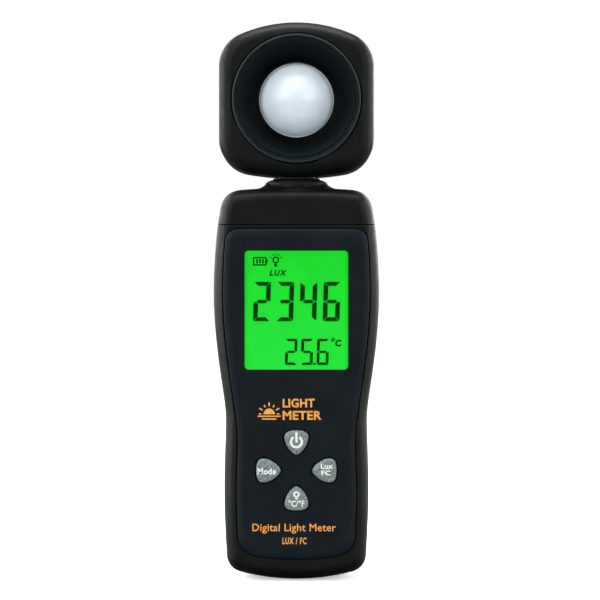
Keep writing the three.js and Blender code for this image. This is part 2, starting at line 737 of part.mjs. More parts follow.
// A hollow stem: its flat-sided flange is held in the head, and the cap's bearing turns round it.
function swivelStem() {
  const profile = [
    [STEM_BORE, 108.6],
    [STEM_RADIUS, 108.6],
    [STEM_RADIUS, 110],
    [5, 110],
    [5, 111.4],
    [STEM_RADIUS, 111.4],
    [STEM_RADIUS, 116],
    [4.8, 116],
    [4.8, 118],
    [STEM_RADIUS, 118],
    [STEM_RADIUS, HEAD_LOW + 2.3],
    [7.8, HEAD_LOW + 2.3],
    [7.8, HEAD_LOW + 4.1],
    [STEM_BORE, HEAD_LOW + 4.1],
    [STEM_BORE, 108.6],
  ];
  return turnedZ(profile, 0, 0, FINE_STEPS).intersect(box(-7, 7, -FAR, FAR, 100, FAR * 3));
}

// The ring under the bearing that carries the lug. The lug meets the stop block at each end of the travel.
function stopCollar() {
  const ring = turnedZ([[6.1, 111.6], [7.6, 111.6], [7.6, 114.7], [6.1, 114.7], [6.1, 111.6]]);
  const angle = THREE.MathUtils.degToRad(STOP_ANGLE + SWIVEL_TRAVEL / 2);
  const lug = new THREE.BoxGeometry(2.8, 3, 3.1).translate(8.5, 0, 113.15).rotateZ(angle);
  return join(ring, solid(lug));
}

// An open snap ring in the stem's lower groove.
function stemClip() {
  const ring = turnedZ([[5.15, 110.2], [8, 110.2], [8, 111.2], [5.15, 111.2], [5.15, 110.2]]);
  return cut(ring, box(-1.5, 1.5, 0, FAR, 100, 120));
}

function frictionRing() {
  return turnedZ([
    [4.95, 116.4],
    [5.5, 116.15],
    [6, 116.5],
    [6, 117.5],
    [5.5, 117.85],
    [4.95, 117.6],
    [4.95, 116.4],
  ]);
}

// ---------------------------------------------------------------- small parts

// A pan-head screw along Y with a cross recess: it is driven from the side that `facing` points to.
function screw([x, z], seat, tip, headRadius, headHeight, shankRadius, facing = 1) {
  const top = seat + facing * headHeight;
  const profile = [
    [0, tip],
    [shankRadius, tip + facing],
    [shankRadius, seat],
    [headRadius, seat],
    [headRadius * 0.85, top],
    [0, top],
  ];
  const body = turnedY(facing > 0 ? profile : profile.reverse(), x, z, SMALL_STEPS);
  const recess = [
    [1.1, 0.25],
    [0.25, 1.1],
  ].map(([dx, dz]) => box(x - dx, x + dx, top - 0.7, top + 0.7, z - dz, z + dz));
  return cut(body, recess);
}

function lead(points) {
  const curve = new THREE.CatmullRomCurve3(points.map((p) => new THREE.Vector3(...p)));
  return bar(curve, 0.9, 8, 14);
}

// ---------------------------------------------------------------- assembly

const meter = new THREE.Group();

meter.add(
  mesh("front_shell", frontShell(), casePlastic),
  mesh("rear_shell", rearShell(), casePlastic),
  mesh("top_cap", topCap(), casePlastic),
  mesh("face_panel", facePanel(), panelPlastic),
  mesh("display_window", displayWindow(), clearWindow),
  mesh("display_glass", displayGlass(), displayGreen),
  mesh("display_frame", displayFrame(), whitePlastic),
  mesh("backlight_panel", backlightPanel(), whitePlastic),
  mesh("contact_strip", contactStrip(), blackRubber),
  mesh("main_board", mainBoard(), boardGreen),
  mesh("keypad_mat", keypadMat(), siliconeRubber),
  mesh("meter_chip", box(-5, 5, -4.6, -3, 70, 80), chipBlack),
  mesh("amplifier_chip", box(-9, -4, -4.6, -3.1, 88, 92), chipBlack),
  mesh("clock_crystal", rodZ(1.5, 72, 78, 9.5, -3.1, SMALL_STEPS), steel),
  mesh("capacitor", rodZ(1.5, 86, 93, 8, -3.1, SMALL_STEPS), steel),
  mesh("thermistor", solid(new THREE.SphereGeometry(1.1, 12, 8).translate(13, -3.4, 99)), chipBlack),
  mesh("lead_socket", box(-3, 3, -4.6, -1.7, 100, 103.4), whitePlastic),
  mesh("case_lead", lead([[0, -3.1, 103.6], [0, -2.9, 105.2], [0, -0.5, 106.6], [0, 0, 108.3]]), leadJacket),
);

for (const { name, turn } of KEYS) meter.add(mesh(name, key(turn), keyPlastic));

meter.add(
  mesh("cell_left", cell(-CELL_PITCH, CELL_LOW, 1), cellJacket),
  mesh("cell_middle", cell(0, CELL_LOW_TURNED, -1), cellJacket),
  mesh("cell_right", cell(CELL_PITCH, CELL_LOW, 1), cellJacket),
  mesh("positive_contact", positiveContact(), nickel),
  mesh("negative_contact", negativeContact(), nickel),
  mesh("low_bridge_contact", lowBridge(), nickel),
  mesh("high_bridge_contact", highBridge(), nickel),
  mesh("battery_door", batteryDoor(), casePlastic),
);

CASE_SCREWS.forEach((place, i) => {
  meter.add(mesh(`case_screw_${i + 1}`, screw(place, 3.7, -7, 1.9, 1.6, 1.1), steel));
});
BOARD_SCREWS.forEach((place, i) => {
  meter.add(mesh(`board_screw_${i + 1}`, screw(place, BOARD_BACK + 0.1, -9.3, 1.8, 1.2, 0.85), steel));
});

meter.add(
  mesh("head_front_shell", headFrontShell(), casePlastic),
  mesh("head_rear_shell", headRearShell(), casePlastic),
  mesh("baffle_ring", baffleRing(), ringPlastic),
  mesh("diffuser_dome", diffuserDome(), domePlastic),
  mesh("color_filter", colorFilter(), filterGlass),
  mesh("sensor_holder", sensorHolder(), ringPlastic),
  mesh("photodiode", photodiode(), steel),
  mesh("sensor_board", sensorBoard(), boardGreen),
  mesh("swivel_stem", swivelStem(), whitePlastic),
  mesh("stop_collar", stopCollar(), whitePlastic),
  mesh("stem_clip", stemClip(), steel),
  mesh("friction_ring", frictionRing(), blackRubber),
  mesh(
    "head_lead",
    lead([
      [0, 0, 108.6],
      [0, 0, 118],
      [0, 0.3, 125],
      [0, 1.6, 128.4],
      [0, 4.3, 130.8],
      [0, 4.7, 134],
      [0, 4.7, 139],
    ]),
    leadJacket,
  ),
);
HEAD_SCREWS.forEach((place, i) => {
  meter.add(mesh(`head_screw_${i + 1}`, screw(place, 5.1, -5, 1.8, 1.4, 1.05), steel));
});
[-1, 1].forEach((s, i) => {
  const made = screw([s * SENSOR_SCREW_X, HEAD_MIDDLE], 1.9, 7.5, 1.7, 1.1, 0.8, -1);
  meter.add(mesh(`sensor_screw_${i + 1}`, made, steel));
});

export default meter;
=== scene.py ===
import bpy
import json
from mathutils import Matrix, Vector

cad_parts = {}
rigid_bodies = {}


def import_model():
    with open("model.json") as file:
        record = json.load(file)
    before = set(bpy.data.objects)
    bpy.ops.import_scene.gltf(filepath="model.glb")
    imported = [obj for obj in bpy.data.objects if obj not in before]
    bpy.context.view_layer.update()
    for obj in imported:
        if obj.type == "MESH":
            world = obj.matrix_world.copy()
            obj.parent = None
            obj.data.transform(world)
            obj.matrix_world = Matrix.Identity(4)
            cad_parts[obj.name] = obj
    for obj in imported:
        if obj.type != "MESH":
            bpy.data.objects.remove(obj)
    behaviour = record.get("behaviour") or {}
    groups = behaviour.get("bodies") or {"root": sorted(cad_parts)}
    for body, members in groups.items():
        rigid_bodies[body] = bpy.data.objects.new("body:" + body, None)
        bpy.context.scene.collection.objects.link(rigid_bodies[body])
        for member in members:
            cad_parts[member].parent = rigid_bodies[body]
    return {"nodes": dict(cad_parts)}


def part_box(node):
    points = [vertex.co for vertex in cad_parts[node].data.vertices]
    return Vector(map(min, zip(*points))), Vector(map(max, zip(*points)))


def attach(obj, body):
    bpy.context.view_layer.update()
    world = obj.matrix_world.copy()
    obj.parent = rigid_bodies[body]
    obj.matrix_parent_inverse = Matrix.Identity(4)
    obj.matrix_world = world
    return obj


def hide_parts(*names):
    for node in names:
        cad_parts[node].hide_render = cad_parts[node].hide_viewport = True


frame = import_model()
bpy.context.view_layer.update()

# %% [markdown]
# The meter and its measures
# A hand-held light meter is a slim dark case with a lit display and four keys, under a round-cornered
# head that carries a white dome in a black bowl. The imported frame above gives every part's place.
# Its numbers are metres, and a maker thinks of such a thing in millimetres, so one factor turns one
# into the other. All later sizes are written in millimetres and multiplied by it.

# %% Units
import json
import math

import bmesh
from mathutils import Vector

MM = 0.001

# %% [markdown]
# The camera
# The meter stands upright and is seen square on, from a little above its middle, through a long lens.
# A long lens keeps the sides of the case nearly hidden and the outline true. The camera is made first
# because the whole picture is judged through it. It is level, so upright edges stay upright.

# %% Camera
CAMERA_AWAY = 700
CAMERA_HEIGHT = 86.2
CAMERA_ASIDE = 1.1
LENS = 134.5

bpy.ops.object.camera_add(
    location=(CAMERA_ASIDE * MM, -CAMERA_AWAY * MM, CAMERA_HEIGHT * MM),
    rotation=(math.radians(90), 0, 0),
)
camera = bpy.context.active_object
camera.name = "meter_camera"
camera.data.lens = LENS
camera.data.sensor_width = 36
camera.data.clip_end = 100
bpy.context.scene.camera = camera
print("camera", tuple(round(c, 4) for c in camera.location))

# %% [markdown]
# Working like a hand
# Every operator acts on what is selected, so a piece is opened alone with nothing picked in it, and its
# faces are picked by where they are or which way they face. These few helpers do that. They stand in for
# the clicks that a person would make in a window.

# %% Opening a piece and picking in it
def alone(piece):
    if bpy.context.object and bpy.context.object.mode != "OBJECT":
        bpy.ops.object.mode_set(mode="OBJECT")
    bpy.ops.object.select_all(action="DESELECT")
    piece.select_set(True)
    bpy.context.view_layer.objects.active = piece
    return piece


def open_piece(piece, kind="FACE"):
    alone(piece)
    bpy.ops.object.mode_set(mode="EDIT")
    bpy.ops.mesh.select_mode(type=kind)
    bpy.ops.mesh.select_all(action="DESELECT")


def close_piece():
    bpy.ops.object.mode_set(mode="OBJECT")


def pick_faces(piece, wanted):
    form = bmesh.from_edit_mesh(piece.data)
    for face in form.faces:
        face.select_set(bool(wanted(face.calc_center_median() / MM, face.normal)))
    bmesh.update_edit_mesh(piece.data)


def face_outwards(piece):
    open_piece(piece)
    bpy.ops.mesh.select_all(action="SELECT")
    bpy.ops.mesh.normals_make_consistent(inside=False)
    close_piece()


def settle(piece):
    alone(piece)
    bpy.ops.object.transform_apply(location=True, rotation=True, scale=True)
    return piece


def copy_of(piece, name):
    twin = piece.copy()
    twin.data = piece.data.copy()
    twin.name = name
    bpy.context.scene.collection.objects.link(twin)
    return twin


def throw_away(*pieces):
    for piece in pieces:
        bpy.data.objects.remove(piece)


# %% [markdown]
# Outlines
# The case is drawn as half of its front view: a foot that curves up into the side, a waist for the
# hand, and a wider top. Four-point curves draw such a line with few numbers. The half is mirrored, so
# both sides match, and the closed line is filled with one face that everything else grows out of.

# %% Drawing an outline from its right half
def outline(name, start, curves, steps):
    spans = []
    here = start
    for span in curves:
        spans.append((here, *span))
        here = span[-1]
    left = [[(-x, z) for x, z in reversed(span)] for span in reversed(spans)]
    spans = spans + left
    line = bpy.data.curves.new(name, "CURVE")
    line.dimensions = "3D"
    spline = line.splines.new("BEZIER")
    spline.bezier_points.add(len(spans) - 1)
    spline.use_cyclic_u = True
    spline.resolution_u = steps
    for i, span in enumerate(spans):
        point = spline.bezier_points[i]
        following = spline.bezier_points[(i + 1) % len(spans)]
        point.handle_left_type = point.handle_right_type = "FREE"
        point.co = (span[0][0] * MM, 0, span[0][1] * MM)
        point.handle_right = (span[1][0] * MM, 0, span[1][1] * MM)
        following.handle_left = (span[2][0] * MM, 0, span[2][1] * MM)
    piece = bpy.data.objects.new(name, line)
    bpy.context.scene.collection.objects.link(piece)
    alone(piece)
    bpy.ops.object.convert(target="MESH")
    piece = bpy.context.active_object
    open_piece(piece, "EDGE")
    bpy.ops.mesh.select_all(action="SELECT")
    bpy.ops.mesh.edge_face_add()
    bpy.ops.mesh.select_mode(type="FACE")
    form = bmesh.from_edit_mesh(piece.data)
    form.faces.ensure_lookup_table()
    if form.faces[0].normal.y > 0:
        bpy.ops.mesh.flip_normals()
    close_piece()
    return piece


def straight(a, b):
    """A straight span, as the two handles and the end of a curve."""
    third = ((b[0] - a[0]) / 3, (b[1] - a[1]) / 3)
    return ((a[0] + third[0], a[1] + third[1]), (b[0] - third[0], b[1] - third[1]), b)


SEAM = 109.4
FOOT_HALF = 21.6
LOWER_HALF = 22.35
WAIST_HALF = 21.85
UPPER_HALF = 25.61
OUTLINE_STEPS = 12

case_line = outline(
    "case_line",
    (0, 0),
    [
        ((6, 0), (11.5, 0.7), (17.5, 2.25)),
        ((19.8, 2.85), (FOOT_HALF, 5), (FOOT_HALF, 7.6)),
        ((21.9, 12), (LOWER_HALF, 20), (LOWER_HALF, 28)),
        ((LOWER_HALF, 36), (WAIST_HALF, 43), (WAIST_HALF, 50)),
        ((WAIST_HALF, 56), (UPPER_HALF, 71), (UPPER_HALF, 88)),
        ((UPPER_HALF, 95.5), (25.15, 102.5), (24.35, SEAM)),
        straight((24.35, SEAM), (23.6, 114)),
        ((23.1, 117.6), (21.3, 119.8), (17.3, 120.3)),
        ((12, 120.75), (6, 120.9), (0, 120.9)),
    ],
    OUTLINE_STEPS,
)
print("case outline:", len(case_line.data.vertices), "points")

# %% [markdown]
# From an outline to a rounded body
# A moulded case has generous edges: the mould leaves no sharp corner in the hand. Here the face in the
# outline is pulled to the edge's start, and then the face is inset again and again, each time a little
# less forward, so the rings follow a quarter of an ellipse. An inset keeps an even distance from the
# outline, which a scale would not do round the waist.

# %% Pulling and rounding
def place_along_y(piece, y):
    open_piece(piece)
    bpy.ops.mesh.select_all(action="SELECT")
    bpy.ops.transform.translate(value=(0, y * MM, 0))
    close_piece()


def round_over(across, deep, rings):
    """Insets the picked face along a quarter ellipse: across in the face's plane, deep along its normal."""
    for i in range(rings):
        a = math.pi / 2 * i / rings
        b = math.pi / 2 * (i + 1) / rings
        bpy.ops.mesh.inset(
            thickness=across * (math.cos(a) - math.cos(b)) * MM,
            depth=deep * (math.sin(b) - math.sin(a)) * MM,
            use_even_offset=True,
        )


def pull(y_distance):
    bpy.ops.mesh.extrude_region_move(TRANSFORM_OT_translate={"value": (0, y_distance * MM, 0)})


def rounded_body(line, name, front, back, front_round, back_round, rings=(9, 9)):
    """A body between two depths. Each rounding is (across, deep), and with one ring it is a bevel."""
    piece = copy_of(line, name)
    start = back - back_round[1]
    place_along_y(piece, start)
    open_piece(piece)
    bpy.ops.mesh.select_all(action="SELECT")
    pull(front + front_round[1] - start)
    close_piece()
    face_outwards(piece)
    open_piece(piece)
    pick_faces(piece, lambda place, normal: normal.y < -0.9)
    round_over(*front_round, rings[0])
    pick_faces(piece, lambda place, normal: normal.y > 0.9)
    round_over(*back_round, rings[1])
    close_piece()
    return piece


def prism(line, name, front, back):
    piece = copy_of(line, name)
    place_along_y(piece, back)
    open_piece(piece)
    bpy.ops.mesh.select_all(action="SELECT")
    pull(front - back)
    close_piece()
    face_outwards(piece)
    return piece


def shrunk(line, name, distance):
    """The outline moved in by a distance, or out where the distance is negative."""
    piece = copy_of(line, name)
    points = [v.co.copy() for v in piece.data.vertices]
    ring = [piece.data.loops[i].vertex_index for i in piece.data.polygons[0].loop_indices]
    turn = 1 if piece.data.polygons[0].normal.y < 0 else -1
    for i, index in enumerate(ring):
        along = (points[ring[(i + 1) % len(ring)]] - points[ring[i - 1]]).normalized()
        inwards = Vector((-along.z, 0, along.x)) * turn
        piece.data.vertices[index].co = points[index] + inwards * distance * MM
    return piece


SHELL_FRONT = -12.7
BACK = 14.5
CASE_FRONT_ROUND = (4, 7)
CASE_BACK_ROUND = (3.4, 6)

# %% [markdown]
# The front and rear shells
# A shell is a thin moulded wall with ribs, screw pillars and pockets inside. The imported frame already
# has all of that inside work, and what it lacks is a fine outside. So the new shell is a finely rounded
# body with the frame's own cavities taken out of it: a block one millimetre smaller than the body has a
# copy of the frame's shell cut from it, which leaves the empty space, and that space is cut from the body.
# The openings that pass through the outer millimetre are then cut again with fine cutters.

# %% Cutting, joining and trimming
def boolean(piece, tool, operation):
    alone(piece)
    change = piece.modifiers.new(operation.title(), "BOOLEAN")
    change.operation = operation
    change.solver = "EXACT"
    change.object = tool
    bpy.ops.object.modifier_apply(modifier=change.name)
    throw_away(tool)
    return piece


def cut(piece, *tools):
    for tool in tools:
        boolean(piece, tool, "DIFFERENCE")
    return piece


def join(piece, *others):
    for other in others:
        boolean(piece, other, "UNION")
    return piece


MERGE_BELOW = 2e-6


def mended(piece):
    """Closes the slivers that a cut along a curved wall can leave open."""
    open_piece(piece, "EDGE")
    bpy.ops.mesh.select_all(action="SELECT")
    bpy.ops.mesh.remove_doubles(threshold=MERGE_BELOW)
    bpy.ops.mesh.select_all(action="DESELECT")
    bpy.ops.mesh.select_non_manifold()
    bpy.ops.mesh.fill_holes(sides=0)
    close_piece()


def frame_copy(node):
    """The frame's own shape as one closed mesh: a node's triangles are loose, so a copy is merged."""
    piece = frame["nodes"][node].copy()
    piece.data = piece.data.copy()
    piece.parent = None
    piece.name = node + "_shape"
    for key in list(piece.keys()):
        del piece[key]
    bpy.context.scene.collection.objects.link(piece)
    open_piece(piece, "VERT")
    bpy.ops.mesh.select_all(action="SELECT")
    bpy.ops.mesh.remove_doubles(threshold=1e-6)
    close_piece()
    return piece


def finely_skinned(node, body, core):
    """The body with the frame's cavities in it. The core is the block in which they are looked for."""
    cut(core, frame_copy(node))
    return cut(body, core)


# %% Cutters
def rod(radius, from_place, to_place, sides=48):
    """A straight cylinder from one point to another, both in millimetres."""
    a, b = Vector(from_place), Vector(to_place)
    bpy.ops.mesh.primitive_cylinder_add(
        vertices=sides, radius=radius * MM, depth=(b - a).length * MM, location=(a + b) / 2 * MM
    )
    piece = bpy.context.active_object
    piece.rotation_mode = "QUATERNION"
    piece.rotation_quaternion = (b - a).to_track_quat("Z", "Y")
    return settle(piece)


def block(low, high):
    middle = [(a + b) / 2 * MM for a, b in zip(low, high)]
    bpy.ops.mesh.primitive_cube_add(size=1, location=middle)
    piece = bpy.context.active_object
    piece.scale = [(b - a) * MM for a, b in zip(low, high)]
    return settle(piece)


def ball(radius, place):
    bpy.ops.mesh.primitive_uv_sphere_add(
        segments=72, ring_count=36, radius=radius * MM, location=[c * MM for c in place]
    )
    return settle(bpy.context.active_object)


def round_rect(name, half, low, high, radius):
    """A flat rectangle with round corners in the XZ plane, made like the outlines."""
    bow = radius * 0.5523
    right = half - radius
    return outline(
        name,
        (0, low),
        [
            straight((0, low), (right, low)),
            ((right + bow, low), (half, low + radius - bow), (half, low + radius)),
            straight((half, low + radius), (half, high - radius)),
            ((half, high - radius + bow), (right + bow, high), (right, high)),
            straight((right, high), (0, high)),
        ],
        8,
    )


# %% [markdown]
# The lines inside the front face
# The printed panel lies in a shallow recess that follows the case, and four plectrum-shaped keys point
# at the middle of a cross. Both lines are drawn once here, because the shell, the panel and the keys
# all use them: a recess is the panel's line moved out by the gap, and a key's hole is its line likewise.

# %% Panel line and key line
GAP = 0.3
PANEL_FLOOR = -11.6
KEY_MIDDLE = 34
KEY_REACH = 8.67
KEY_CLEARANCE = 0.45
KEY_TURNS = {"power_key": 0, "mode_key": 90, "lamp_key": 180, "unit_key": -90}

panel_line = outline(
    "panel_line",
    (0, 6.7),
    [
        ((5, 6.7), (8, 7), (11.5, 7.5)),
        ((15.6, 8.1), (17.95, 10.4), (17.95, 14)),
        ((18.1, 18), (18.3, 22), (18.3, 27)),
        ((18.3, 34), (17.9, 37), (17.9, 43)),
        ((17.9, 52), (22.43, 70), (22.43, 88.5)),
        ((22.43, 95), (22.15, 100), (21.8, 103.9)),
        ((21.6, 106.6), (20.2, 107.9), (17.8, 107.9)),
        ((12, 107.97), (6, 108), (0, 108)),
    ],
    OUTLINE_STEPS,
)
key_line = outline(
    "key_line",
    (0, -3.85),
    [((1.3, -3.85), (3.68, -0.8), (3.68, 1.5)), ((3.68, 3.1), (2.2, 3.6), (0, 3.6))],
    10,
)


def to_key_place(piece, turn):
    """Moves a form drawn round the middle of a key to that key's place in the cross."""
    angle = math.radians(turn)
    piece.rotation_euler = (0, -angle, 0)
    x = -math.sin(angle) * KEY_REACH
    z = KEY_MIDDLE + math.cos(angle) * KEY_REACH
    piece.location = (x * MM, 0, z * MM)
    return settle(piece)


def key_hole(turn, grow, front, back):
    grown = shrunk(key_line, "key_hole_line", -grow)
    hole = prism(grown, "key_hole", front, back)
    throw_away(grown)
    return to_key_place(hole, turn)


# %% Front shell
# The outer layer of the front reaches past the split, and a lip of the rear stands inside it, so that the
# gap between them can't be seen through. Every rim stops a little short of the frame's own.
RIM_BEVEL = (0.26, 0.26)
TRIM = 0.17
LAP = 0.4
LIP_CLEARANCE = 0.05
LIP_END = 3
CORE_LAYER = 1
CORE_FRONT = -11.2
CORE_BACK = 13.2
CORE_PAST = 1.2
CORE_FRONT_ROUND = (3.5, 6.5)
CORE_BACK_ROUND = (3, 5.6)
CORE_RIM = (0.2, 0.2)
OVER = 0.02
FAR = 60
IN_FRONT = -20
INSIDE = -9
GLASS_HOLE = (17.3, 62.9, 103.1, 0.6)

core_line = shrunk(case_line, "core_line", CORE_LAYER)


def trimmed_above_seam(piece):
    return cut(piece, block((-FAR, -FAR, SEAM - TRIM), (FAR, FAR, FAR * 3)))


front_shell = rounded_body(
    case_line, "case_front", SHELL_FRONT, LAP, CASE_FRONT_ROUND, RIM_BEVEL, (9, 1)
)
front_core = rounded_body(
    core_line, "front_core", CORE_FRONT, CORE_PAST, CORE_FRONT_ROUND, CORE_RIM, (4, 1)
)
finely_skinned("front_shell", front_shell, front_core)
trimmed_above_seam(front_shell)

recess_line = shrunk(panel_line, "recess_line", -GAP - OVER)
half, low, high, corner = GLASS_HOLE
glass_line = round_rect("glass_line", half + OVER, low - OVER, high + OVER, corner)
cut(
    front_shell,
    prism(recess_line, "recess", IN_FRONT, PANEL_FLOOR),
    prism(glass_line, "glass_hole", IN_FRONT, INSIDE),
    *[key_hole(turn, KEY_CLEARANCE + OVER, IN_FRONT, INSIDE) for turn in KEY_TURNS.values()],
)
mended(front_shell)
print("front shell:", len(front_shell.data.polygons), "faces")

# %% Rear shell
DOOR_HALF = 16.9
DOOR_LOW = 8
DOOR_HIGH = 61.5
CASE_SCREWS = [(-19.8, 66), (19.8, 66), (-19.8, 101), (19.8, 101)]
SCREW_SEAT = 2.1
SCREW_WELL = 3.5
DOOR_CORNER = 2.9
DOOR_LEDGE = 12.4
THUMB_SCOOP = (9, (0, BACK + 7.6, 64.4))

rear_shell = rounded_body(
    case_line, "case_rear", LAP + 2 * TRIM, BACK, RIM_BEVEL, CASE_BACK_ROUND, (1, 9)
)
lip_line = shrunk(case_line, "lip_line", CORE_LAYER + LIP_CLEARANCE)
join(rear_shell, prism(lip_line, "rear_lip", TRIM, LIP_END))
rear_core = rounded_body(
    core_line, "rear_core", -CORE_PAST, CORE_BACK, CORE_RIM, CORE_BACK_ROUND, (1, 4)
)
finely_skinned("rear_shell", rear_shell, rear_core)
trimmed_above_seam(rear_shell)

wider = GAP + OVER
door_recess_line = round_rect(
    "door_recess_line", DOOR_HALF + wider, DOOR_LOW - wider, DOOR_HIGH + wider, DOOR_CORNER + GAP
)
cut(
    rear_shell,
    prism(door_recess_line, "door_recess", DOOR_LEDGE - OVER, FAR),
    ball(THUMB_SCOOP[0] + OVER, THUMB_SCOOP[1]),
    *[rod(SCREW_SEAT + OVER, (x, SCREW_WELL - OVER, z), (x, FAR, z)) for x, z in CASE_SCREWS],
)
print("rear shell:", len(rear_shell.data.polygons), "faces")

# %% [markdown]
# Turned pieces
# Rings, collars, domes and screws are round, so each is drawn as half a section and spun about its
# axis, as on a lathe. The section is a list of points, each a distance from the axis and a place along
# it. The spin's two ends meet, so its doubles are merged, and a small bevel takes off sharp corners.

# %% Spinning a section
def turned(name, section, sides=96, bevel=0.0, along="Z"):
    """A section of (radius, height) points spun round the Z axis, or laid so that it runs along Y."""
    bpy.ops.mesh.primitive_plane_add(size=MM)
    piece = bpy.context.active_object
    piece.name = name
    open_piece(piece, "VERT")
    form = bmesh.from_edit_mesh(piece.data)
    bmesh.ops.delete(form, geom=list(form.verts), context="VERTS")
    row = [form.verts.new((radius * MM, 0, height * MM)) for radius, height in section]
    for a, b in zip(row, row[1:]):
        form.edges.new((a, b))
    bmesh.update_edit_mesh(piece.data)
    bpy.ops.mesh.select_all(action="SELECT")
    bpy.ops.mesh.spin(steps=sides, angle=2 * math.pi, center=(0, 0, 0), axis=(0, 0, 1))
    bpy.ops.mesh.select_all(action="SELECT")
    bpy.ops.mesh.remove_doubles(threshold=1e-6)
    bpy.ops.mesh.normals_make_consistent(inside=False)
    close_piece()
    if bevel:
        rounded_corners(piece, bevel)
    if along == "Y":
        piece.rotation_euler = (math.radians(-90), 0, 0)
        settle(piece)
    return piece


def rounded_corners(piece, width, segments=3, angle=30):
    alone(piece)
    change = piece.modifiers.new("Corners", "BEVEL")
    change.width = width * MM
    change.segments = segments
    change.limit_method = "ANGLE"
    change.angle_limit = math.radians(angle)
    bpy.ops.object.modifier_apply(modifier=change.name)
    return piece


def moved(piece, place):
    piece.location = [c * MM for c in place]
    return settle(piece)


# %% [markdown]
# The top cap and its collar
# Above the seam the case is closed by a separate cap. A collar rises from it round the stem that the
# head turns on, and a flare runs from the collar into the cap. The cap is rounded from front to back,
# so the flare is narrower that way. Collar and flare are spun, and then joined to the rounded body.

# %% Top cap
SHOULDER = 120.9
BOSS_TOP = 124
BEARING = 6.1
FLARE_SQUEEZE = 0.78
SKIRT_IN = 2.2
SKIRT_LOW = 106.2
SKIRT_HIGH = 111

top_cap = rounded_body(case_line, "case_cap", SHELL_FRONT, BACK, CASE_FRONT_ROUND, CASE_BACK_ROUND)
cut(top_cap, block((-FAR, -FAR, -FAR), (FAR, FAR, SEAM + TRIM)))
skirt_line = shrunk(case_line, "skirt_line", SKIRT_IN)
skirt = prism(skirt_line, "skirt", -9.8, 12.3)
cut(
    skirt,
    block((-FAR, -FAR, -FAR), (FAR, FAR, SKIRT_LOW)),
    block((-FAR, -FAR, SKIRT_HIGH), (FAR, FAR, FAR * 3)),
)

flare = turned(
    "flare",
    [
        (0, SHOULDER - 2.4),
        (13.6, SHOULDER - 2.4),
        (13.6, SHOULDER - 0.35),
        (12.6, SHOULDER - 0.12),
        (11.7, SHOULDER + 0.12),
        (10.9, SHOULDER + 0.45),
        (10.2, SHOULDER + 0.9),
        (9.7, SHOULDER + 1.4),
        (9.3, SHOULDER + 2),
        (0, SHOULDER + 2),
    ],
)
flare.scale = (1, FLARE_SQUEEZE, 1)
settle(flare)
boss = turned(
    "boss",
    [
        (0, SHOULDER - 2),
        (9.2, SHOULDER - 2),
        (9.2, 122.2),
        (9.1, 122.7),
        (8.85, 123.1),
        (8.4, 123.35),
        (7.7, 123.5),
        (7.4, 123.62),
        (7.3, 123.8),
        (7.3, BOSS_TOP),
        (0, BOSS_TOP),
    ],
)
join(top_cap, skirt, flare, boss)
cap_core = rounded_body(
    core_line, "cap_core", CORE_FRONT, CORE_BACK, CORE_FRONT_ROUND, CORE_BACK_ROUND, (4, 4)
)
cut(cap_core, block((-FAR, -FAR, -FAR), (FAR, FAR, 104)))
finely_skinned("top_cap", top_cap, cap_core)
cut(top_cap, rod(BEARING + OVER, (0, 0, 112), (0, 0, 126), 72))
print("top cap:", len(top_cap.data.polygons), "faces")

# %% [markdown]
# The face panel
# The panel is a thin printed plate with softly rounded edges that stands a little proud of the case.
# It is the front panel's line pulled and rounded over. The window's opening and the keys' holes get
# a slight chamfer at the front, as a moulded opening has, so the cutters are a little wider there.

# %% Face panel
PANEL_FRONT = -13.5
PANEL_BACK = -11.8
PANEL_ROUND = (2.4, 0.9)
VIEW_HALF = 15.87
VIEW_LOW = 64.9
VIEW_HIGH = 101.3
CHAMFER = 0.22
POCKET = (17.4, 62.8, 103.2, 0.6)
POCKET_DEPTH = -13


def chamfered_hole(line, name, place=None):
    """A cutter through the panel that widens by the chamfer over its last stretch."""
    hole = prism(line, name, PANEL_FRONT + CHAMFER, INSIDE)
    open_piece(hole)
    pick_faces(hole, lambda at, normal: normal.y < -0.9)
    pull(-CHAMFER - OVER)
    bpy.ops.mesh.select_mode(type="VERT")
    form = bmesh.from_edit_mesh(hole.data)
    front = [v for v in form.verts if v.select]
    middle = sum((v.co for v in front), Vector()) / len(front)
    wide = max((v.co - middle).length for v in front)
    grow = 1 + (CHAMFER + OVER) * MM / wide
    bpy.ops.transform.resize(value=(grow, 1, grow), center_override=middle)
    bpy.ops.mesh.select_mode(type="FACE")
    pick_faces(hole, lambda at, normal: normal.y < -0.9 and at.y < PANEL_FRONT)
    pull(-3)
    close_piece()
    if place is not None:
        to_key_place(hole, place)
    return hole


face_panel = rounded_body(
    panel_line, "front_panel", PANEL_FRONT, PANEL_BACK, PANEL_ROUND, (0.1, 0.1), (8, 1)
)
view_line = round_rect("view_line", VIEW_HALF, VIEW_LOW, VIEW_HIGH, 1.2)
pocket_line = round_rect("pocket_line", *POCKET)
hole_line = shrunk(key_line, "hole_line", -KEY_CLEARANCE)
cut(
    face_panel,
    prism(pocket_line, "pocket", POCKET_DEPTH, INSIDE),
    chamfered_hole(view_line, "view_hole"),
    *[chamfered_hole(hole_line, "key_hole", turn) for turn in KEY_TURNS.values()],
)
print("face panel:", len(face_panel.data.polygons), "faces")

# %% [markdown]
# The head
# The head is a flat, round-cornered form in two halves. Its outline is made of arcs only: a nearly flat
# foot, tight corners, straight sides and a bowed top, each running smoothly into the next. The front
# half has a wide mouth for the bowl, and the rear half is closed and holds the screws.

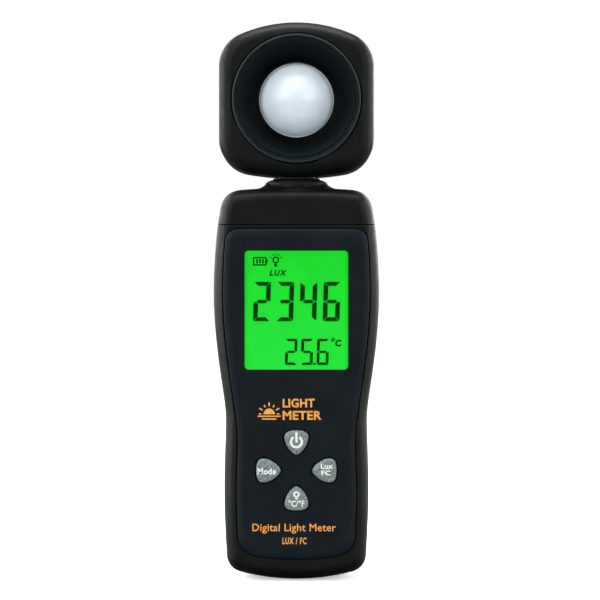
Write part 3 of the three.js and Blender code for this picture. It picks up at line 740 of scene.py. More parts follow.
# %% Head shells
HEAD_MIDDLE = 148.2
HEAD_HALF = 24
HEAD_LOW = 124.3
HEAD_HIGH = 172.1
HEAD_DEPTH = 11
HEAD_CORNER = 10.7
HEAD_CORNERS_LOW = 136.1
HEAD_CORNERS_HIGH = 158.6
HEAD_FRONT_ROUND = (4.2, 5)
HEAD_BACK_ROUND = (3.2, 4.5)
MOUTH = 20.3
HEAD_SCREWS = [(x, HEAD_MIDDLE + dz) for dz in (-16.5, 16.5) for x in (-17, 17)]
HEAD_SCREW_SEAT = 2
HEAD_SCREW_WELL = 4.9
HEAD_CORE_DEPTH = 9.9
NECK_HOLE_TOP = HEAD_LOW + 4.05


def arc(middle, radius, start, end):
    """An arc as one curve span: two handles and the end."""
    reach = 4 / 3 * math.tan((end - start) / 4) * radius

    def at(angle, along):
        x = middle[0] + radius * math.cos(angle) - along * math.sin(angle)
        z = middle[1] + radius * math.sin(angle) + along * math.cos(angle)
        return (x, z)

    return (at(start, reach), at(end, -reach), at(end, 0))


def crown(rise):
    """Radius of the arc over an end of the head that runs smoothly into its corners."""
    across = HEAD_HALF - HEAD_CORNER
    return (across**2 + rise**2 - HEAD_CORNER**2) / (2 * (rise - HEAD_CORNER))


corner_x = HEAD_HALF - HEAD_CORNER
top_radius = crown(HEAD_HIGH - HEAD_CORNERS_HIGH)
foot_radius = crown(HEAD_CORNERS_LOW - HEAD_LOW)
top_middle = (0, HEAD_HIGH - top_radius)
foot_middle = (0, HEAD_LOW + foot_radius)
top_lean = math.atan2(HEAD_CORNERS_HIGH - top_middle[1], corner_x)
foot_lean = math.atan2(HEAD_CORNERS_LOW - foot_middle[1], corner_x)

head_line = outline(
    "head_line",
    (0, HEAD_LOW),
    [
        arc(foot_middle, foot_radius, -math.pi / 2, foot_lean),
        arc((corner_x, HEAD_CORNERS_LOW), HEAD_CORNER, foot_lean, 0),
        straight((HEAD_HALF, HEAD_CORNERS_LOW), (HEAD_HALF, HEAD_CORNERS_HIGH)),
        arc((corner_x, HEAD_CORNERS_HIGH), HEAD_CORNER, 0, top_lean),
        arc(top_middle, top_radius, top_lean, math.pi / 2),
    ],
    16,
)
head_core_line = shrunk(head_line, "head_core_line", CORE_LAYER)


def neck_hole():
    return rod(BEARING + OVER, (0, 0, 120), (0, 0, NECK_HOLE_TOP), 72)


head_front = rounded_body(
    head_line, "head_front", -HEAD_DEPTH, LAP, HEAD_FRONT_ROUND, RIM_BEVEL, (9, 1)
)
head_front_core = rounded_body(
    head_core_line, "head_front_core", -HEAD_CORE_DEPTH, CORE_PAST, (4, 4.8), CORE_RIM, (4, 1)
)
finely_skinned("head_front_shell", head_front, head_front_core)
mouth = rod(MOUTH + OVER, (0, IN_FRONT, HEAD_MIDDLE), (0, 2, HEAD_MIDDLE), 128)
cut(head_front, mouth, neck_hole())
mended(head_front)

head_rear = rounded_body(
    head_line, "head_rear", LAP + 2 * TRIM, HEAD_DEPTH, RIM_BEVEL, HEAD_BACK_ROUND, (1, 9)
)
head_lip_line = shrunk(head_line, "head_lip_line", CORE_LAYER + LIP_CLEARANCE)
join(head_rear, prism(head_lip_line, "head_rear_lip", TRIM, LIP_END))
head_rear_core = rounded_body(
    head_core_line, "head_rear_core", -CORE_PAST, HEAD_CORE_DEPTH, CORE_RIM, (3, 4.3), (1, 4)
)
finely_skinned("head_rear_shell", head_rear, head_rear_core)
cut(
    head_rear,
    neck_hole(),
    *[rod(HEAD_SCREW_SEAT + OVER, (x, HEAD_SCREW_WELL - OVER, z), (x, FAR, z)) for x, z in HEAD_SCREWS],
)
print("head shells:", len(head_front.data.polygons), len(head_rear.data.polygons), "faces")

# %% [markdown]
# The bowl and the dome
# The dark bowl shades the sensor from stray light: a rounded lip outside, then a funnel down to the
# dome. The dome is a shallow cap of milky plastic that spreads the light. Both are spun from sections,
# and the dome's arc is worked out from its width and height, so it stays a true part of a sphere.

# %% Bowl
RING_RADIUS = 19.8
FLAT_BELOW = 129.3

bowl = turned(
    "bowl",
    [
        (11.6, -3.5),
        (18.4, -3.5),
        (18.4, -6.9),
        (21.2, -6.9),
        (21.2, -8.7),
        (RING_RADIUS, -8.7),
        (RING_RADIUS, -11.45),
        (19.62, -11.72),
        (19.3, -11.8),
        (18.9, -11.72),
        (18.72, -11.42),
        (18.45, -11.3),
        (18.0, -11.42),
        (17.55, -11.3),
        (17.2, -10.9),
        (16.7, -9.9),
        (16, -8.7),
        (15.2, -7.75),
        (14.2, -6.95),
        (13.2, -6.4),
        (12.4, -6.05),
        (11.9, -5.92),
        (11.6, -5.8),
        (11.6, -3.5),
    ],
    128,
    along="Y",
)
moved(bowl, (0, 0, HEAD_MIDDLE))
cut(bowl, block((-FAR, -8.75, 0), (FAR, 10, FLAT_BELOW)))

# %% Dome
DOME_RADIUS = 11.25
DOME_HEIGHT = 8.9
DOME_BASE = -3.4
DOME_SKIN = 1.2
DOME_FOOT = 12.9
DOME_BACK = -2.4
DOME_INSIDE_EDGE = 1.32

ball_radius = (DOME_RADIUS**2 + DOME_HEIGHT**2) / (2 * DOME_HEIGHT)
ball_middle = DOME_BASE - DOME_HEIGHT + ball_radius
dome_edge = math.asin(DOME_RADIUS / ball_radius)


def dome_arc(radius, start, end, steps):
    angles = [start + (end - start) * i / steps for i in range(steps + 1)]
    return [(radius * math.sin(a), ball_middle - radius * math.cos(a)) for a in angles]


inside = dome_arc(ball_radius - DOME_SKIN, DOME_INSIDE_EDGE, 0, 18)
dome = turned(
    "dome",
    [
        *dome_arc(ball_radius, 0, dome_edge, 28),
        (DOME_FOOT, DOME_BASE),
        (DOME_FOOT, DOME_BACK),
        (inside[0][0], DOME_BACK),
        *inside,
    ],
    128,
    along="Y",
)
moved(dome, (0, 0, HEAD_MIDDLE))
print("dome reaches y", round(min(v.co.y for v in dome.data.vertices) / MM, 2))

# %% [markdown]
# The battery door
# A flat door closes the tray at the back. It hooks in with two tabs below and snaps in above, where two
# slots free a springy tongue with a ridged grip for the finger. It is pulled from a round-cornered line,
# its outer edge is rounded over, and the grip's ridges are half-round bars laid in a shallow recess.

# %% Battery door
DOOR_TAB = 5.4
TAB_HALF = 1.2
TAB_FRONT = 11.3
SLOT_X = 6.4
SLOT_HALF = 0.4
SLOT_LOW = 53
GRIP = (5, 54.6, 60)
GRIP_DEEP = 0.6
RIDGES = (55.6, 57.3, 59)
RIDGE_HALF = 4.3
RIDGE_Y = BACK - 0.58
ARROW_TIP = (0, 48.6)
ARROW_CORNER = (2.2, 51.4)

door_line = round_rect("door_line", DOOR_HALF, DOOR_LOW, DOOR_HIGH, DOOR_CORNER)
door = rounded_body(door_line, "bay_door", 12.5, BACK, (0.15, 0.15), (0.45, 0.45), (1, 4))
for side in (-1, 1):
    x = side * DOOR_TAB
    join(door, block((x - TAB_HALF, TAB_FRONT, 8.2), (x + TAB_HALF, 12.8, 9.4)))
    join(door, block((x - TAB_HALF, TAB_FRONT, 6), (x + TAB_HALF, 12.1, 9.35)))
    x = side * SLOT_X
    cut(door, block((x - SLOT_HALF, 0, SLOT_LOW), (x + SLOT_HALF, FAR, 80)))
    cut(door, rod(SLOT_HALF, (x, 0, SLOT_LOW), (x, FAR, SLOT_LOW), 24))
grip_line = round_rect("grip_line", *GRIP, 0.8)
cut(door, prism(grip_line, "grip_recess", BACK - GRIP_DEEP, FAR))
for z in RIDGES:
    ridge = rod(0.45, (-RIDGE_HALF, RIDGE_Y, z), (RIDGE_HALF, RIDGE_Y, z), 24)
    join(door, rounded_corners(ridge, 0.18))
arrow_line = outline(
    "arrow_line",
    ARROW_TIP,
    [straight(ARROW_TIP, ARROW_CORNER), straight(ARROW_CORNER, (0, ARROW_CORNER[1]))],
    1,
)
cut(door, prism(arrow_line, "arrow", BACK - 0.3, FAR))
join(door, block((-3, 13, DOOR_HIGH - 0.25), (3, 13.6, DOOR_HIGH + 0.2)))
print("door:", len(door.data.polygons), "faces")

# %% [markdown]
# Screws
# The shells are held by pan-head screws with a cross recess, seen down their wells at the back. One is
# spun and cut, and the others are copies, each with its own mesh. The cross is two crossing bars that
# taper towards the tip, which is the shape a cross-head driver needs.

# %% Screws in their wells
def driver_cross(size, top, deep):
    arms = []
    for wide, narrow in ((size, size * 0.26), (size * 0.26, size)):
        bpy.ops.mesh.primitive_cube_add(size=1, location=(0, (top - deep / 2 + 0.2) * MM, 0))
        arm = bpy.context.active_object
        arm.scale = (2 * wide * MM, (deep + 0.4) * MM, 2 * narrow * MM)
        settle(arm)
        open_piece(arm)
        pick_faces(arm, lambda at, normal: normal.y < -0.9)
        bpy.ops.transform.resize(value=(0.6, 1, 0.6), center_override=(0, (top - deep) * MM, 0))
        close_piece()
        arms.append(arm)
    return join(arms[0], arms[1])


def pan_head(name, seat, tip, head_radius, head_high, shank_radius):
    top = seat + head_high
    screw = turned(
        name,
        [
            (0, tip),
            (shank_radius * 0.55, tip + 0.1),
            (shank_radius, tip + 1),
            (shank_radius, seat),
            (head_radius, seat),
            (head_radius, seat + head_high * 0.45),
            (head_radius * 0.94, seat + head_high * 0.7),
            (head_radius * 0.8, seat + head_high * 0.88),
            (head_radius * 0.55, seat + head_high * 0.97),
            (0, top),
        ],
        40,
        along="Y",
    )
    return cut(screw, driver_cross(head_radius * 0.58, top, 0.8))


case_screw = pan_head("case_screw", 3.7, -7, 1.9, 1.6, 1.1)
head_screw = pan_head("head_screw", 5.1, -5, 1.8, 1.4, 1.05)
case_screws = [copy_of(case_screw, f"case_screw_fine_{i + 1}") for i in range(len(CASE_SCREWS))]
head_screws = [copy_of(head_screw, f"head_screw_fine_{i + 1}") for i in range(len(HEAD_SCREWS))]
for screw, (x, z) in zip(case_screws + head_screws, CASE_SCREWS + HEAD_SCREWS):
    moved(screw, (x, 0, z))
throw_away(case_screw, head_screw)
print("screws:", len(case_screws) + len(head_screws))

# %% [markdown]
# Cells and contacts
# Three AAA cells lie in the tray, the middle one the other way up. A cell is a steel can in a printed
# sleeve with a small cap at one end. The springs are plain wire: a line that climbs and narrows as it
# turns, given the wire's thickness, and joined to the plate that it is pressed from.

# %% Cells
CELL_RADIUS = 5.25
CELL_LENGTH = 43.7
CELL_PITCH = 10.8
CELL_Y = 6.9
NUB = 1.9
NUB_LENGTH = 0.8

cell = turned(
    "cell",
    [
        (0, 0.1),
        (3.4, 0.1),
        (3.7, 0.0),
        (CELL_RADIUS - 0.6, 0),
        (CELL_RADIUS, 0.6),
        (CELL_RADIUS, CELL_LENGTH - 0.6),
        (CELL_RADIUS - 0.5, CELL_LENGTH),
        (CELL_RADIUS - 1.0, CELL_LENGTH),
        (CELL_RADIUS - 1.3, CELL_LENGTH - 0.25),
        (2.6, CELL_LENGTH - 0.25),
        (NUB + 0.1, CELL_LENGTH - 0.1),
        (NUB, CELL_LENGTH + NUB_LENGTH - 0.2),
        (NUB - 0.2, CELL_LENGTH + NUB_LENGTH),
        (0, CELL_LENGTH + NUB_LENGTH),
    ],
    64,
)
cells = {}
for node, column, upright in (("cell_left", -1, True), ("cell_middle", 0, False), ("cell_right", 1, True)):
    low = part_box(node)[0].z / MM
    cells[node] = copy_of(cell, node + "_fine")
    if not upright:
        cells[node].rotation_euler = (math.pi, 0, 0)
        settle(cells[node])
        low += CELL_LENGTH + NUB_LENGTH
    moved(cells[node], (column * CELL_PITCH, CELL_Y, low))
throw_away(cell)

# %% Springs
WIRE = 0.35


def cone_spring(name, x, start, end, wide=2.9, narrow=1.9, turns=3.5):
    steps = int(turns * 24)
    line = bpy.data.curves.new(name, "CURVE")
    line.dimensions = "3D"
    spline = line.splines.new("POLY")
    spline.points.add(steps)
    for i in range(steps + 1):
        share = i / steps
        angle = 2 * math.pi * turns * share
        radius = wide + (narrow - wide) * share
        spline.points[i].co = (
            (x + radius * math.cos(angle)) * MM,
            (CELL_Y + radius * math.sin(angle)) * MM,
            (start + (end - start) * share) * MM,
            1,
        )
    line.bevel_depth = WIRE * MM
    line.bevel_resolution = 2
    line.use_fill_caps = True
    spring = bpy.data.objects.new(name, line)
    bpy.context.scene.collection.objects.link(spring)
    alone(spring)
    bpy.ops.object.convert(target="MESH")
    spring = bpy.context.active_object
    open_piece(spring, "VERT")
    bpy.ops.mesh.select_all(action="SELECT")
    bpy.ops.mesh.remove_doubles(threshold=1e-6)
    close_piece()
    face_outwards(spring)
    return spring


def contact_plate(name, x0, x1, low, high):
    plate = block((x0, 3, low), (x1, 9.6, high))
    plate.name = name
    return rounded_corners(plate, 0.12, 2)


LOW_PLATE = (9.8, 10.3)
LOW_SPRING = (10.2, 14.4)
HIGH_PLATE = (59.9, 60.4)
HIGH_SPRING = (60, 55.8)

negative_contact = contact_plate("negative_strip", 7.4, 14.4, *LOW_PLATE)
solder_tail = block((9.3, -4.5, 9.82), (12.3, 4, 10.28))
join(negative_contact, solder_tail, cone_spring("spring", CELL_PITCH, *LOW_SPRING))
low_bridge = contact_plate("low_strip", -14.4, 3.6, *LOW_PLATE)
join(low_bridge, cone_spring("spring", -CELL_PITCH, *LOW_SPRING))
high_bridge = contact_plate("high_strip", -3.6, 14.4, *HIGH_PLATE)
join(high_bridge, cone_spring("spring", 0, *HIGH_SPRING))
print("springs:", [len(o.data.polygons) for o in (negative_contact, low_bridge, high_bridge)])

# %% [markdown]
# The display
# Behind a clear window a lit glass shows dark figures. Each figure is made of seven bars with mitred
# ends and thin gaps between them. The bars are drawn once as small flat shapes in a cell as wide and
# high as a figure, and a figure is the bars that its number lights, leaned a little to the right.

# %% Window and lit glass
GLASS_FRONT = -11.6
MARK_SUNK = 0.05
MARK_PROUD = 0.03

GLASS_BACK = -9.8
WINDOW_FRONT = -12.9
WINDOW_BACK = -11.9
WINDOW_EDGE = (0.12, 0.12)
GLASS_EDGE = (0.1, 0.1)

window_line = round_rect("window_line", 17.1, 63.1, 102.9, 0.5)
window = rounded_body(
    window_line, "clear_window", WINDOW_FRONT, WINDOW_BACK, WINDOW_EDGE, WINDOW_EDGE, (2, 2)
)
lit_line = round_rect("lit_line", 17, 63.2, 102.8, 0.4)
lit_glass = rounded_body(lit_line, "lit_glass", GLASS_FRONT, GLASS_BACK, GLASS_EDGE, GLASS_EDGE, (1, 1))


# %% Flat marks
def flat_mark(points, front, back):
    """A thin closed plate whose front is the line through the points."""
    bpy.ops.mesh.primitive_circle_add(vertices=len(points), radius=MM, fill_type="NGON")
    mark = bpy.context.active_object
    for corner, (x, z) in zip(mark.data.vertices, points):
        corner.co = (x * MM, back * MM, z * MM)
    open_piece(mark)
    bpy.ops.mesh.select_all(action="SELECT")
    pull(front - back)
    close_piece()
    face_outwards(mark)
    return mark


def one_piece(name, parts):
    """Several plates as one object. They stay apart, so nothing has to be cut."""
    alone(parts[0])
    for part in parts[1:]:
        part.select_set(True)
    bpy.ops.object.join()
    whole = bpy.context.active_object
    whole.name = name
    return whole


def ring_mark(x, z, outer, inner, front, back, start=0, end=360, steps=40):
    """A flat ring or part of one, as a closed strip. A full ring is two halves."""
    if end - start > 350:
        half = (start + end) / 2
        return [
            *ring_mark(x, z, outer, inner, front, back, start, half, steps // 2),
            *ring_mark(x, z, outer, inner, front, back, half, end, steps // 2),
        ]
    angles = [math.radians(start + (end - start) * i / steps) for i in range(steps + 1)]
    rim = [(x + outer * math.cos(a), z + outer * math.sin(a)) for a in angles]
    bore = [(x + inner * math.cos(a), z + inner * math.sin(a)) for a in reversed(angles)]
    return [flat_mark(rim + bore, front, back)]


def bar_mark(a, b, width, front, back):
    """A straight bar between two points."""
    along = Vector((b[0] - a[0], b[1] - a[1])).normalized() * width / 2
    side = (-along.y, along.x)
    corners = [
        (a[0] + side[0], a[1] + side[1]),
        (a[0] - side[0], a[1] - side[1]),
        (b[0] - side[0], b[1] - side[1]),
        (b[0] + side[0], b[1] + side[1]),
    ]
    return flat_mark(corners, front, back)


def ray_mark(x, z, turn, near, far, width, front, back):
    """A bar that points away from a middle, turned from the right by so many degrees."""
    a = math.radians(turn)
    start = (x + near * math.cos(a), z + near * math.sin(a))
    end = (x + far * math.cos(a), z + far * math.sin(a))
    return bar_mark(start, end, width, front, back)


# %% Figures of seven bars
LEAN = 0.03
BARS = {
    "2": ("top", "high_right", "middle", "low_left", "foot"),
    "3": ("top", "high_right", "middle", "low_right", "foot"),
    "4": ("high_left", "high_right", "middle", "low_right"),
    "5": ("top", "high_left", "middle", "low_right", "foot"),
    "6": ("top", "high_left", "middle", "low_left", "low_right", "foot"),
}


def figure(number, left, low, width, height, upright, level, gap):
    """The bars of one number. Upright bars are `upright` wide and level ones `level` high."""
    top = [
        (gap, height),
        (width - gap, height),
        (width - upright * 0.95, height - level),
        (upright * 0.95, height - level),
    ]
    side = [
        (width, height - gap * 1.2),
        (width, height / 2 + gap * 1.4),
        (width - upright * 0.45, height / 2 + gap * 0.5),
        (width - upright, height / 2 + level * 0.62),
        (width - upright, height - level - gap * 0.7),
    ]
    middle = [
        (upright * 0.62, height / 2),
        (upright * 1.05, height / 2 + level * 0.45),
        (width - upright * 1.05, height / 2 + level * 0.45),
        (width - upright * 0.62, height / 2),
        (width - upright * 1.05, height / 2 - level * 0.45),
        (upright * 1.05, height / 2 - level * 0.45),
    ]
    shapes = {
        "top": top,
        "foot": [(x, height - z) for x, z in top],
        "high_right": side,
        "high_left": [(width - x, z) for x, z in side],
        "low_right": [(x, height - z) for x, z in side],
        "low_left": [(width - x, height - z) for x, z in side],
        "middle": middle,
    }
    parts = []
    for bar in BARS[number]:
        placed = [(left + x + LEAN * z, low + z) for x, z in shapes[bar]]
        parts.append(flat_mark(placed, GLASS_FRONT - MARK_PROUD, GLASS_FRONT + MARK_SUNK))
    return parts


# Each row: its numbers, where it starts, the step from one to the next, and the size of a figure.
ROWS = [
    ("2346", -13.35, 79.7, 7.13, (5.2, 12.05, 1.42, 1.2, 0.16)),
    ("256", -3.55, 66.25, 4.85, (3.65, 8.05, 0.86, 0.8, 0.12)),
]

lit_parts = []
for numbers, row_left, row_low, pitch, size in ROWS:
    for i, number in enumerate(numbers):
        lit_parts += figure(number, row_left + i * pitch, row_low, *size)
print("bars lit:", len(lit_parts))

# %% [markdown]
# Lettering
# Letters are drawn with Blender's own plain typeface. A text is given a thickness, made a mesh, and
# only then fitted to its place, by the height and width that it should fill. All words on this meter
# are plain ones that any maker's meter could carry.

# %% Words fitted to a place
def lettering(name, words, left, right, low, high, front, back, weight=0.0, lean=0.0, apart=1.05):
    bpy.ops.object.text_add()
    text = bpy.context.active_object
    text.data.body = words
    text.data.extrude = 0.1
    text.data.offset = weight
    text.data.shear = lean
    text.data.space_character = apart
    text.data.resolution_u = 3
    alone(text)
    bpy.ops.object.convert(target="MESH")
    sign = bpy.context.active_object
    sign.name = name
    sign.rotation_euler = (math.radians(90), 0, 0)
    settle(sign)
    corners = [v.co.copy() for v in sign.data.vertices]
    lowest = [min(c[i] for c in corners) for i in range(3)]
    highest = [max(c[i] for c in corners) for i in range(3)]
    wanted_low = (left * MM, front * MM, low * MM)
    wanted_high = (right * MM, back * MM, high * MM)
    for vertex in sign.data.vertices:
        for i in range(3):
            share = (vertex.co[i] - lowest[i]) / (highest[i] - lowest[i])
            vertex.co[i] = wanted_low[i] + share * (wanted_high[i] - wanted_low[i])
    open_piece(sign, "VERT")
    bpy.ops.mesh.select_all(action="SELECT")
    bpy.ops.mesh.remove_doubles(threshold=1e-7)
    close_piece()
    face_outwards(sign)
    return sign


# %% Signs on the display
mark_depth = (GLASS_FRONT - MARK_PROUD, GLASS_FRONT + MARK_SUNK)
lit_parts.append(flat_mark([(5.15, 66.25), (5.85, 66.25), (5.87, 66.95), (5.17, 66.95)], *mark_depth))
for name, words, where, style in (
    ("unit_sign", "LUX", (-8.3, -2.9, 93.6, 95.4), {"weight": 0.045, "lean": 0.25, "apart": 1.25}),
    ("degree_sign", "C", (11.9, 13.85, 71.9, 74.05), {"weight": 0.05, "lean": 0.15}),
):
    lit_parts.append(lettering(name, words, *where, *mark_depth, **style))
lit_parts += ring_mark(11.25, 74, 0.58, 0.22, *mark_depth)
BATTERY = (-13.35, -8.9, 96.75, 99.4)
left, right, low, high = BATTERY
for a, b in (
    ((left, low + 0.22), (right - 0.4, low + 0.22)),
    ((left, high - 0.22), (right - 0.4, high - 0.22)),
    ((left + 0.22, low + 0.3), (left + 0.22, high - 0.3)),
    ((right - 0.5, low + 0.1), (right - 0.5, high - 0.1)),
    ((right - 0.15, low + 0.7), (right - 0.15, high - 0.7)),
):
    lit_parts.append(bar_mark(a, b, 0.42, *mark_depth))
for x in (-12.1, -11.2, -10.3):
    lit_parts.append(bar_mark((x, low + 0.65), (x, high - 0.65), 0.52, *mark_depth))
LAMP = (-6.35, 98.5)
lit_parts += ring_mark(*LAMP, 1.05, 0.62, *mark_depth)
lit_parts.append(bar_mark((LAMP[0], 97.4), (LAMP[0], 96.4), 0.85, *mark_depth))
for turn in (25, 60, 90, 120, 155):
    lit_parts.append(ray_mark(*LAMP, turn, 1.35, 2.1, 0.22, *mark_depth))
figures = one_piece("display_figures", lit_parts)
print("display:", len(figures.data.polygons), "faces")

# %% [markdown]
# The keys
# Each key is a plectrum of translucent rubber with a rounded rim and a top that bulges a little. It is
# pulled from the key's line and rounded over, and a flange behind the panel keeps it in. The keys are
# alike, so one is modelled and copied into the four places of the cross.

# %% Keys
KEY_TOP = -14.44
KEY_ROUND = (0.75, 0.5)
KEY_CROWN = (0.9, 0.06)

KEY_BACK = -9.2
FLANGE_OUT = 1.1
FLANGE = (-9.7, -8.9)

key_rim = KEY_TOP + KEY_CROWN[1]
plain_key = rounded_body(key_line, "plain_key", key_rim, KEY_BACK, KEY_ROUND, (0.1, 0.1), (6, 1))
open_piece(plain_key)
pick_faces(plain_key, lambda at, normal: at.y < key_rim + 0.005)
round_over(*KEY_CROWN, 3)
close_piece()
flange_line = shrunk(key_line, "flange_line", -FLANGE_OUT)
join(plain_key, prism(flange_line, "flange", *FLANGE))
keys = {node: to_key_place(copy_of(plain_key, node + "_cap"), turn) for node, turn in KEY_TURNS.items()}
throw_away(plain_key)
print("key tops at y", [round(min(v.co.y for v in k.data.vertices) / MM, 3) for k in keys.values()])

# %% Key legends
legend_depth = (KEY_TOP - 0.045, KEY_TOP + 0.05)
power_z = KEY_MIDDLE + KEY_REACH + 0.15
power_sign = ring_mark(0, power_z, 2.0, 1.3, *legend_depth, start=122, end=418)
power_sign.append(bar_mark((0, power_z - 0.2), (0, power_z + 2.85), 0.7, *legend_depth))
lamp_z = KEY_MIDDLE - KEY_REACH + 1.4
lamp_sign = ring_mark(0, lamp_z, 0.98, 0.42, *legend_depth)
lamp_sign.append(bar_mark((0, lamp_z - 1.5), (0, lamp_z - 0.75), 0.8, *legend_depth))
legends = {
    "power_key": one_piece("power_legend", power_sign),
    "mode_key": lettering("mode_legend", "Mode", -11.9, -6.2, 32.8, 34.8, *legend_depth, weight=0.03),
    "unit_key": one_piece(
        "unit_legend",
        [
            lettering("unit_legend_high", "Lux", 7.45, 11.2, 34.55, 36.15, *legend_depth, weight=0.03),
            lettering("unit_legend_low", "FC", 7.6, 10.5, 32.55, 34.05, *legend_depth, weight=0.03),
        ],
    ),
    "lamp_key": one_piece(
        "lamp_legend",
        [
            *lamp_sign,
            lettering("lamp_legend_low", "°C/°F", -2.45, 2.45, 22.95, 24.95, *legend_depth, weight=0.02),
        ],
    ),
}
print("legends:", len(legends))

# %% [markdown]
# The print on the panel
# The panel carries a few warm orange words and a small sun that rises over a line. Screen print stands
# a hair above the plastic, so the marks are thin plates that sit a little proud of the panel. The sun is
# a half disc with rays, and the half disc is a fan of points round a centre.

# %% Orange print
print_depth = (PANEL_FRONT - 0.03, PANEL_FRONT + 0.05)
SUN = (-8.35, 51.2)
SUN_RADIUS = 1.75
SUN_LINE = 0.42
half_disc = [
    (SUN[0] + SUN_RADIUS * math.cos(math.pi * i / 24), SUN[1] + SUN_RADIUS * math.sin(math.pi * i / 24))
    for i in range(25)
]
sun_parts = [flat_mark(half_disc, *print_depth)]
for half, below in ((3.5, 0.6), (2.2, 1.45)):
    z = SUN[1] - below
    sun_parts.append(bar_mark((SUN[0] - half, z), (SUN[0] + half, z), SUN_LINE, *print_depth))
for i in range(7):
    reach = 3.55 if i % 2 else 3.15
    sun_parts.append(ray_mark(SUN[0], SUN[1] + 0.1, 30 * i, 2.35, reach, SUN_LINE, *print_depth))
sun_print = one_piece("sun_print", sun_parts)
words_print = one_piece(
    "words_print",
    [
        lettering("words_high", "LIGHT", -4.2, 5.6, 53.25, 56, *print_depth, weight=0.03),
        lettering("words_low", "METER", -4.2, 7.7, 49.5, 52.25, *print_depth, weight=0.03),
        lettering("title", "Digital Light Meter", -13.5, 12.1, 14.65, 17.7, *print_depth, weight=0.012),
        lettering("subtitle", "LUX / FC", -4.3, 3.1, 11.4, 13.45, *print_depth, weight=0.03, apart=1.15),
    ],
)
print("print:", len(sun_print.data.polygons) + len(words_print.data.polygons), "faces")

# %% [markdown]
# Finishes
# Every finish is built from the same few things that a real surface has: a colour that drifts a little,
# a roughness that is not even, and a fine relief. All three come from noise laid out in the piece's own
# coordinates, in metres, so the grain has one size on every piece. The plastics are also made paler and
# smoother along their edges, partly as wear from handling and partly as a painted highlight for the light
# that rounded edges catch; the edges are found by comparing a rounded normal with the true one.

# %% Building a finish
def linear(red, green, blue):
    """A colour given as 0 to 255 in the usual screen scale, as the shader wants it."""
    def one(c):
        c /= 255
        return c / 12.92 if c <= 0.04045 else ((c + 0.055) / 1.055) ** 2.4

    return (one(red), one(green), one(blue), 1)


class Finish:
    def __init__(self, name, rough=0.5, metallic=0.0, specular=0.5):
        self.material = bpy.data.materials.new(name)
        self.material.use_nodes = True
        self.tree = self.material.node_tree
        self.shader = self.tree.nodes["Principled BSDF"]
        self.rough = rough
        self.shader.inputs["Roughness"].default_value = rough
        self.shader.inputs["Metallic"].default_value = metallic
        self.shader.inputs["Specular IOR Level"].default_value = specular
        self.place = self.node("ShaderNodeTexCoord").outputs["Object"]
        self.colour = None
        self.roughness = None

    def node(self, kind, **values):
        made = self.tree.nodes.new(kind)
        for key, value in values.items():
            setattr(made, key, value)
        return made

    def wire(self, source, target):
        self.tree.links.new(source, target)

    def noise(self, size, detail=3.0, stretch=(1, 1, 1)):
        """Noise whose blobs are about `size` millimetres across."""
        spread = self.node("ShaderNodeMapping")
        spread.inputs["Scale"].default_value = stretch
        self.wire(self.place, spread.inputs["Vector"])
        cloud = self.node("ShaderNodeTexNoise")
        cloud.inputs["Scale"].default_value = 1 / (size * MM)
        cloud.inputs["Detail"].default_value = detail
        self.wire(spread.outputs["Vector"], cloud.inputs["Vector"])
        return cloud.outputs["Fac"]

    def share(self, source, low, high, to_low=0.0, to_high=1.0):
        remap = self.node("ShaderNodeMapRange")
        remap.inputs["From Min"].default_value = low
        remap.inputs["From Max"].default_value = high
        remap.inputs["To Min"].default_value = to_low
        remap.inputs["To Max"].default_value = to_high
        self.wire(source, remap.inputs["Value"])
        return remap.outputs["Result"]

    def blend(self, share, first, second):
        mix = self.node("ShaderNodeMix", data_type="RGBA")
        self.wire(share, mix.inputs[0])
        for value, socket in ((first, mix.inputs[6]), (second, mix.inputs[7])):
            if isinstance(value, tuple):
                socket.default_value = value
            else:
                self.wire(value, socket)
        return mix.outputs[2]

    def drift(self, dark, light, size, detail=3.0):
        """A colour that wanders between two near ones."""
        self.colour = self.blend(self.share(self.noise(size, detail), 0.35, 0.65), dark, light)
        return self

    def uneven(self, size, spread):
        cloud = self.noise(size, 4)
        self.roughness = self.share(cloud, 0.3, 0.7, self.rough - spread, self.rough + spread)
        return self

    def rubbed_and_highlit(self, radius, colour, rough, strength=0.6):
        """Edges made paler and smoother, part wear and part painted highlight: where a rounded normal
        leaves the true one.
        """
        soft = self.node("ShaderNodeBevel", samples=4)
        soft.inputs["Radius"].default_value = radius * MM
        true = self.node("ShaderNodeNewGeometry").outputs["Normal"]
        compare = self.node("ShaderNodeVectorMath", operation="DOT_PRODUCT")
        self.wire(soft.outputs["Normal"], compare.inputs[0])
        self.wire(true, compare.inputs[1])
        edge = self.share(compare.outputs["Value"], 0.985, 0.86)
        patchy = self.share(self.noise(1.6, 5), 0.35, 0.62)
        both = self.node("ShaderNodeMath", operation="MULTIPLY")
        self.wire(edge, both.inputs[0])
        self.wire(patchy, both.inputs[1])
        worn_and_highlit = self.share(both.outputs["Value"], 0, 1, 0, strength)
        self.colour = self.blend(worn_and_highlit, self.colour, colour)
        smoother = self.node("ShaderNodeMix", data_type="FLOAT")
        self.wire(worn_and_highlit, smoother.inputs[0])
        self.wire(self.roughness, smoother.inputs[2])
        smoother.inputs[3].default_value = rough
        self.roughness = smoother.outputs[0]
        return self

    def relief(self, size, height, strength=1.0, detail=2.0, stretch=(1, 1, 1)):
        bump = self.node("ShaderNodeBump")
        bump.inputs["Strength"].default_value = strength
        bump.inputs["Distance"].default_value = height * MM
        self.wire(self.noise(size, detail, stretch), bump.inputs["Height"])
        self.wire(bump.outputs["Normal"], self.shader.inputs["Normal"])
        return self

    def done(self):
        self.wire(self.colour, self.shader.inputs["Base Color"])
        if self.roughness is not None:
            self.wire(self.roughness, self.shader.inputs["Roughness"])
        return self.material
